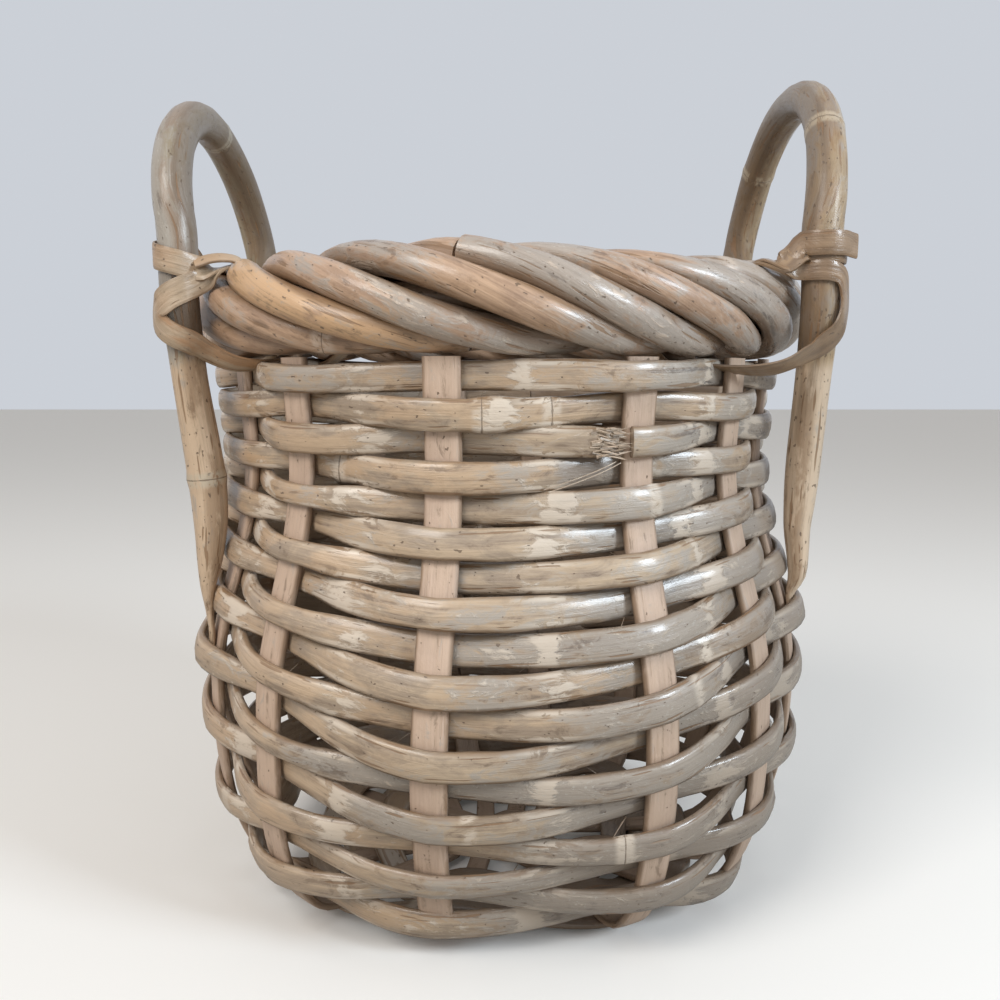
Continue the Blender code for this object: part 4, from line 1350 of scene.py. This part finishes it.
# Each loop over a leg, from the rope and back: turn about the leg, height by the rope's radius, and tilt
LOOPS = {
    "left_front": [
        (112, 0.40, 0), (85, 0.30, 0), (55, 0.17, 0), (28, 0.00, 0), (9, -0.14, 0),
        (12, -0.30, 0), (32, -0.46, 0), (58, -0.60, 8), (85, -0.70, 20),
    ],
    "left_back": [
        (112, 0.56, 0), (85, 0.50, 0), (55, 0.40, 0), (28, 0.22, 0), (6, -0.02, 0),
        (8, -0.26, 0), (32, -0.48, 0), (58, -0.62, 10), (85, -0.78, 20), (112, -0.9, 35),
    ],
    "right_front": [
        (112, 0.66, 0), (85, 0.66, 0), (55, 0.65, 0), (28, 0.57, 0), (8, 0.25, 5),
        (5, -0.18, 12), (22, -0.48, 24), (48, -0.68, 34),
    ],
    "right_back": [
        (112, 0.52, 0), (85, 0.48, 0), (55, 0.38, 0), (28, 0.22, 0), (6, 0.00, 0),
        (6, -0.24, 8), (28, -0.46, 20), (55, -0.64, 35), (85, -0.84, 50), (112, -0.98, 60),
    ],
}
# Where a loop runs free under the rope: azimuth, millimetres from the axis and up, and lean of its face
LOOSE_RUNS = {
    "left_front": [(-56.7, 131.1, 228.7, 0.5), (-54.7, 121.5, 224.2, 1.2), (-53, 110, 224.6, 4.0)],
    "right_front": [
        (57.4, 139.6, 229.8, 0.8), (55, 136, 226.7, 1.0), (50.5, 130, 222.5, 1.7), (47, 121, 221.8, 3.0),
        (45, 110, 223.4, 6.0),
    ],
}
# Where a strap's end dives between the rope's canes: shift from the leg, lay angle, layer
DIVES = {
    "left": [(9 * MM, 16, -5.0), (8.5 * MM, 34, -1.4), (8 * MM, 50, 0.2)],
    "right": [(15 * MM, 10, -5.0), (14 * MM, 28, -1.4), (12.5 * MM, 46, 0.3)],
}
# Each leg's straps: how far from the leg the loop comes back round the rope, and the collar's drop and slope
STRAP_PLACES = {
    "left_front": (14 * MM, 3.6 * MM, -3.4 * MM),
    "left_back": (11 * MM, 1.0 * MM, -1.5 * MM),
    "right_front": (20 * MM, 1.6 * MM, 0.5 * MM),
    "right_back": (15 * MM, 0.6 * MM, -0.6 * MM),
}
# The angles about the rope through which a loop comes back: from, to, by, and from where it nears the leg
LOOP_BACK = {"loose": 210, "tight": 150}
LOOP_END = 345
LOOP_STEP = 20
LOOP_NEARS = 190
# How wide a loop is where it folds over the leg, and before that at the right
FOLD_WIDTH = 0.72
RIGHT_LOOP_WIDTH = 0.75
# How much warmer and darker a loop is at its low side: the warmth is the strap's own colour, the darkening is
# painted shade under the rope
LOW_LOOPS = {"left": (0.8, 0.1), "right": (0.0, 0.6)}
COLLAR_TURNS = range(105, -106, -30)
OUTER_COLLAR_TURNS = (118, 95, 70, 45, 22)
OUTER_COLLAR_RISE = 2.2 * MM
# The curled end of a strap: places in millimetres with widths, and the way that its face looks
CURL = [
    (-112, -75.5, 260.5, 0.6), (-107, -74.5, 262.3, 0.65), (-101, -73.5, 262.8, 0.6), (-97, -73, 262.0, 0.45),
    (-95, -72.8, 260.2, 0.3),
]
CURL_FACE = (0.1, -0.55, 0.83)


def rope_station(leg, shift, lay_angle, layer=0.0):
    """On the rim rope, shifted from the leg towards the basket's middle, on a layer counted from the rope."""
    side, front = LEG_SIGNS[leg]
    azimuth = leg_azimuth(leg) - side * front * math.degrees(shift / RIM_RADIUS)
    reach = ROPE_RADIUS + STRAP_SEAT + layer * (STRAP_THICKNESS + CLEARANCE)
    centre = rope_point(azimuth, 0, 0)
    place = rope_point(azimuth, lay_angle, reach)
    return [*place, *(place - centre).normalized(), 1.0]


def leg_station(leg, turn, height, layer=0.0, tilt=0.0, width=1.0):
    """On the outside of a leg, turned from the way out towards the basket's middle, its face tilted down."""
    side, front = LEG_SIGNS[leg]
    azimuth = leg_azimuth(leg)
    towards_middle = along_wall(azimuth) * (-side * front)
    # The last three stations of a leg's line are at the wall's top, at the rim and where the arch springs
    low = leg_line(leg)[-4][0]
    angle, lean = math.radians(turn), math.radians(tilt)
    normal = outward(azimuth) * math.cos(angle) + towards_middle * math.sin(angle)
    reach = HANDLE_RADIUS + STRAP_SEAT + layer * (STRAP_THICKNESS + CLEARANCE)
    face = normal * math.cos(lean) - UP * math.sin(lean)
    return [*(leg_centre(leg, low, height) + normal * reach), *face, width]


def dive(leg, side=1, shift=0.0, turn=0, layer=0.0):
    """Where a strap's end dives between the rope's canes, on one side of the leg or the other."""
    return [
        rope_station(leg, side * away + shift, angle + turn, depth + layer)
        for away, angle, depth in DIVES[leg.split("_")[0]]
    ]


def make_strap(name, stations, nodes, look, seed, low_warm=0.0, low_dark=0.0):
    """A strap of peeled cane through stations, a little uneven in width and in its pale patches."""
    table = flow(stations, STRAP_STEP)
    cane = Cane(table[:, :3], table[:, 3:6], STRAP_WIDTH / 2 * table[:, 6], STRAP_THICKNESS / 2)
    cane.swell(*STRAP_SWELL, seed)
    cane.offset = 150 + seed / 100
    quick = wander(cane.lengths, 22 * MM, seed + 3)
    low = np.clip((RIM_HEIGHT - cane.places[:, 2]) / (9 * MM), 0, 1)
    cane.warm = np.clip(0.30 + 0.3 * quick + low_warm * low, 0, 1)
    cane.pale = np.clip(0.4 + 0.4 * wander(cane.lengths, 16 * MM, seed + 4), 0, 1)
    cane.cool[:] = -0.3
    # Painted shade on the strap's low part, under the rope
    cane.dark = np.clip(0.12 + 0.14 * quick + low_dark * low, 0, 1)
    sweep(name, cane, FLAT, LOOKS[look], nodes)


def make_rim_strap(leg, look, seed):
    """The strap round a leg and the rope: over the rope, hooked over the leg's outside, and back below it."""
    side = leg.split("_")[0]
    low_shift = STRAP_PLACES[leg][0]
    stations = dive(leg, shift=1 * MM, turn=-4, layer=-0.6)
    for count, (turn, height_share, tilt) in enumerate(LOOPS[leg]):
        fold = abs(count - (len(LOOPS[leg]) - 1) / 2) < 1
        width = FOLD_WIDTH if fold else RIGHT_LOOP_WIDTH if side == "right" and count < 3 else 1.0
        stations.append(leg_station(leg, turn, RIM_HEIGHT + height_share * ROPE_RADIUS, 0.4, tilt, width))
    for azimuth, radius, height, lean in LOOSE_RUNS.get(leg, ()):
        face = outward(azimuth / 6) - UP * lean
        stations.append([*(outward(azimuth) * radius + UP * height) * MM, *face.normalized(), 1.0])
    for angle in range(LOOP_BACK["loose" if leg in LOOSE_RUNS else "tight"], LOOP_END, LOOP_STEP):
        part = max(0, (angle - LOOP_NEARS) / (LOOP_END - LOOP_NEARS))
        shift = low_shift + (STRAP_SHIFT - low_shift) * part
        stations.append(rope_station(leg, shift, angle))
    make_strap(f"lashing_{leg}", stations, [f"rim_strap_{leg}"], look, seed, *LOW_LOOPS[side])


def make_collar(leg, look, seed):
    """The strap round a leg above the rim, with both ends laid over the rope and down inside it."""
    drop, slope = STRAP_PLACES[leg][1:]
    round_leg = [leg_station(leg, turn, COLLAR_HEIGHT - drop + turn / 90 * slope) for turn in COLLAR_TURNS]
    stations = dive(leg) + round_leg + dive(leg, side=-1, layer=-0.3)[::-1]
    make_strap(f"collar_{leg}", stations, [f"collar_strap_{leg}"], look, seed)


def make_outer_collar(leg, look, seed):
    """A second turn of the collar over the first, from the rope to a cut end that stands off the leg."""
    height = COLLAR_HEIGHT - STRAP_PLACES[leg][1] + OUTER_COLLAR_RISE
    stations = dive(leg, shift=-1 * MM, turn=2, layer=0.9)
    stations += [leg_station(leg, turn, height, 1.0) for turn in OUTER_COLLAR_TURNS]
    stations += [leg_station(leg, 4, height - 0.4 * MM, 1.3), leg_station(leg, -9, height - 0.8 * MM, 2.2)]
    make_strap(f"collar_turn_{leg}", stations, [], look, seed)


def make_curl(leg, look, seed):
    """The loose end of a strap, which stands off the rope beside the leg."""
    stations = [[*(Vector(place) * MM), *CURL_FACE, width] for *place, width in CURL]
    make_strap(f"curl_{leg}", stations, [], look, seed)


# Floor, light and camera

def make_stage():
    """A pale floor. It lights the object as a darker table would, and keeps its shadow."""
    data = bpy.data.meshes.new("floor")
    corners = [(x * FLOOR_REACH, y * FLOOR_REACH, 0) for x, y in ((-1, -1), (1, -1), (1, 1), (-1, 1))]
    data.from_pydata(corners, [], [(0, 1, 2, 3)])
    look = bpy.data.materials.new("floor")
    look.use_nodes = True
    tree = look.node_tree
    shader = tree.nodes["Principled BSDF"].inputs
    seen = add_node(tree, "ShaderNodeLightPath", {}).outputs["Is Camera Ray"]
    tree.links.new(mix_colours(tree, seen, FLOOR_LIT, FLOOR_SEEN), shader["Base Color"])
    tree.links.new(mix_colours(tree, seen, (0, 0, 0), FLOOR_GLOW), shader["Emission Color"])
    shader["Emission Strength"].default_value = 1.0
    shader["Roughness"].default_value = 0.8
    data.materials.append(look)
    floor = placed("floor", data)


def make_world():
    """Soft light from all round, and a pale background where the camera or a reflection sees it."""
    world = bpy.data.worlds.new("studio")
    bpy.context.scene.world = world
    world.use_nodes = True
    tree = world.node_tree
    tree.nodes.clear()
    lit = add_node(tree, "ShaderNodeBackground", {"Color": (*WORLD_LIT, 1), "Strength": WORLD_LIT_STRENGTH})
    seen = add_node(tree, "ShaderNodeBackground", {"Color": (*WORLD_SEEN, 1), "Strength": 1.0})
    path = add_node(tree, "ShaderNodeLightPath", {}).outputs
    rays = {0: path["Is Camera Ray"], 1: path["Is Glossy Ray"]}
    either = add_node(tree, "ShaderNodeMath", rays, operation="MAXIMUM")
    mix = add_node(tree, "ShaderNodeMixShader", {0: either.outputs[0], 1: lit.outputs[0], 2: seen.outputs[0]})
    add_node(tree, "ShaderNodeOutputWorld", {"Surface": mix.outputs[0]})


def make_light(name, place, target, size, power, colour):
    """A soft square lamp at a place, turned to its target."""
    data = bpy.data.lights.new(name, "AREA")
    data.shape = "SQUARE"
    data.size = size
    data.energy = power
    data.color = colour
    light = placed(name, data)
    light.location = place
    light.rotation_euler = (Vector(target) - Vector(place)).to_track_quat("-Z", "Y").to_euler()


def make_camera():
    """Where the photo was taken from."""
    data = bpy.data.cameras.new("camera")
    data.lens, data.sensor_width = CAMERA_LENS, CAMERA_SENSOR
    data.clip_start = CAMERA_CLIP_START
    camera = placed("camera", data)
    camera.location = CAMERA_PLACE
    camera.rotation_euler = (math.radians(90 - CAMERA_DIP), 0, 0)
    bpy.context.scene.camera = camera


make_camera()
make_stage()
make_world()
for lamp, settings in LIGHTS.items():
    make_light(lamp, *settings)
make_strips()
make_rows()
make_fibres()
make_rim()
make_handle("left", -1, LEFT_HANDLE_RISE)
make_handle("right", 1, RIGHT_HANDLE_RISE)
for number, leg_name in enumerate(LEG_SIGNS):
    colour_name = "strap_pale" if leg_name.startswith("left") else "strap_brown"
    make_rim_strap(leg_name, colour_name, SEEDS["lashing"] + 10 * number)
    make_collar(leg_name, colour_name, SEEDS["collar"] + 10 * number)
for number, leg_name in enumerate(("right_front", "right_back")):
    make_outer_collar(leg_name, "strap_brown", SEEDS["outer_collar"] + 10 * number)
make_curl("left_front", "strap_pale", SEEDS["curl"])

bpy.context.scene.view_settings.view_transform = "Standard"
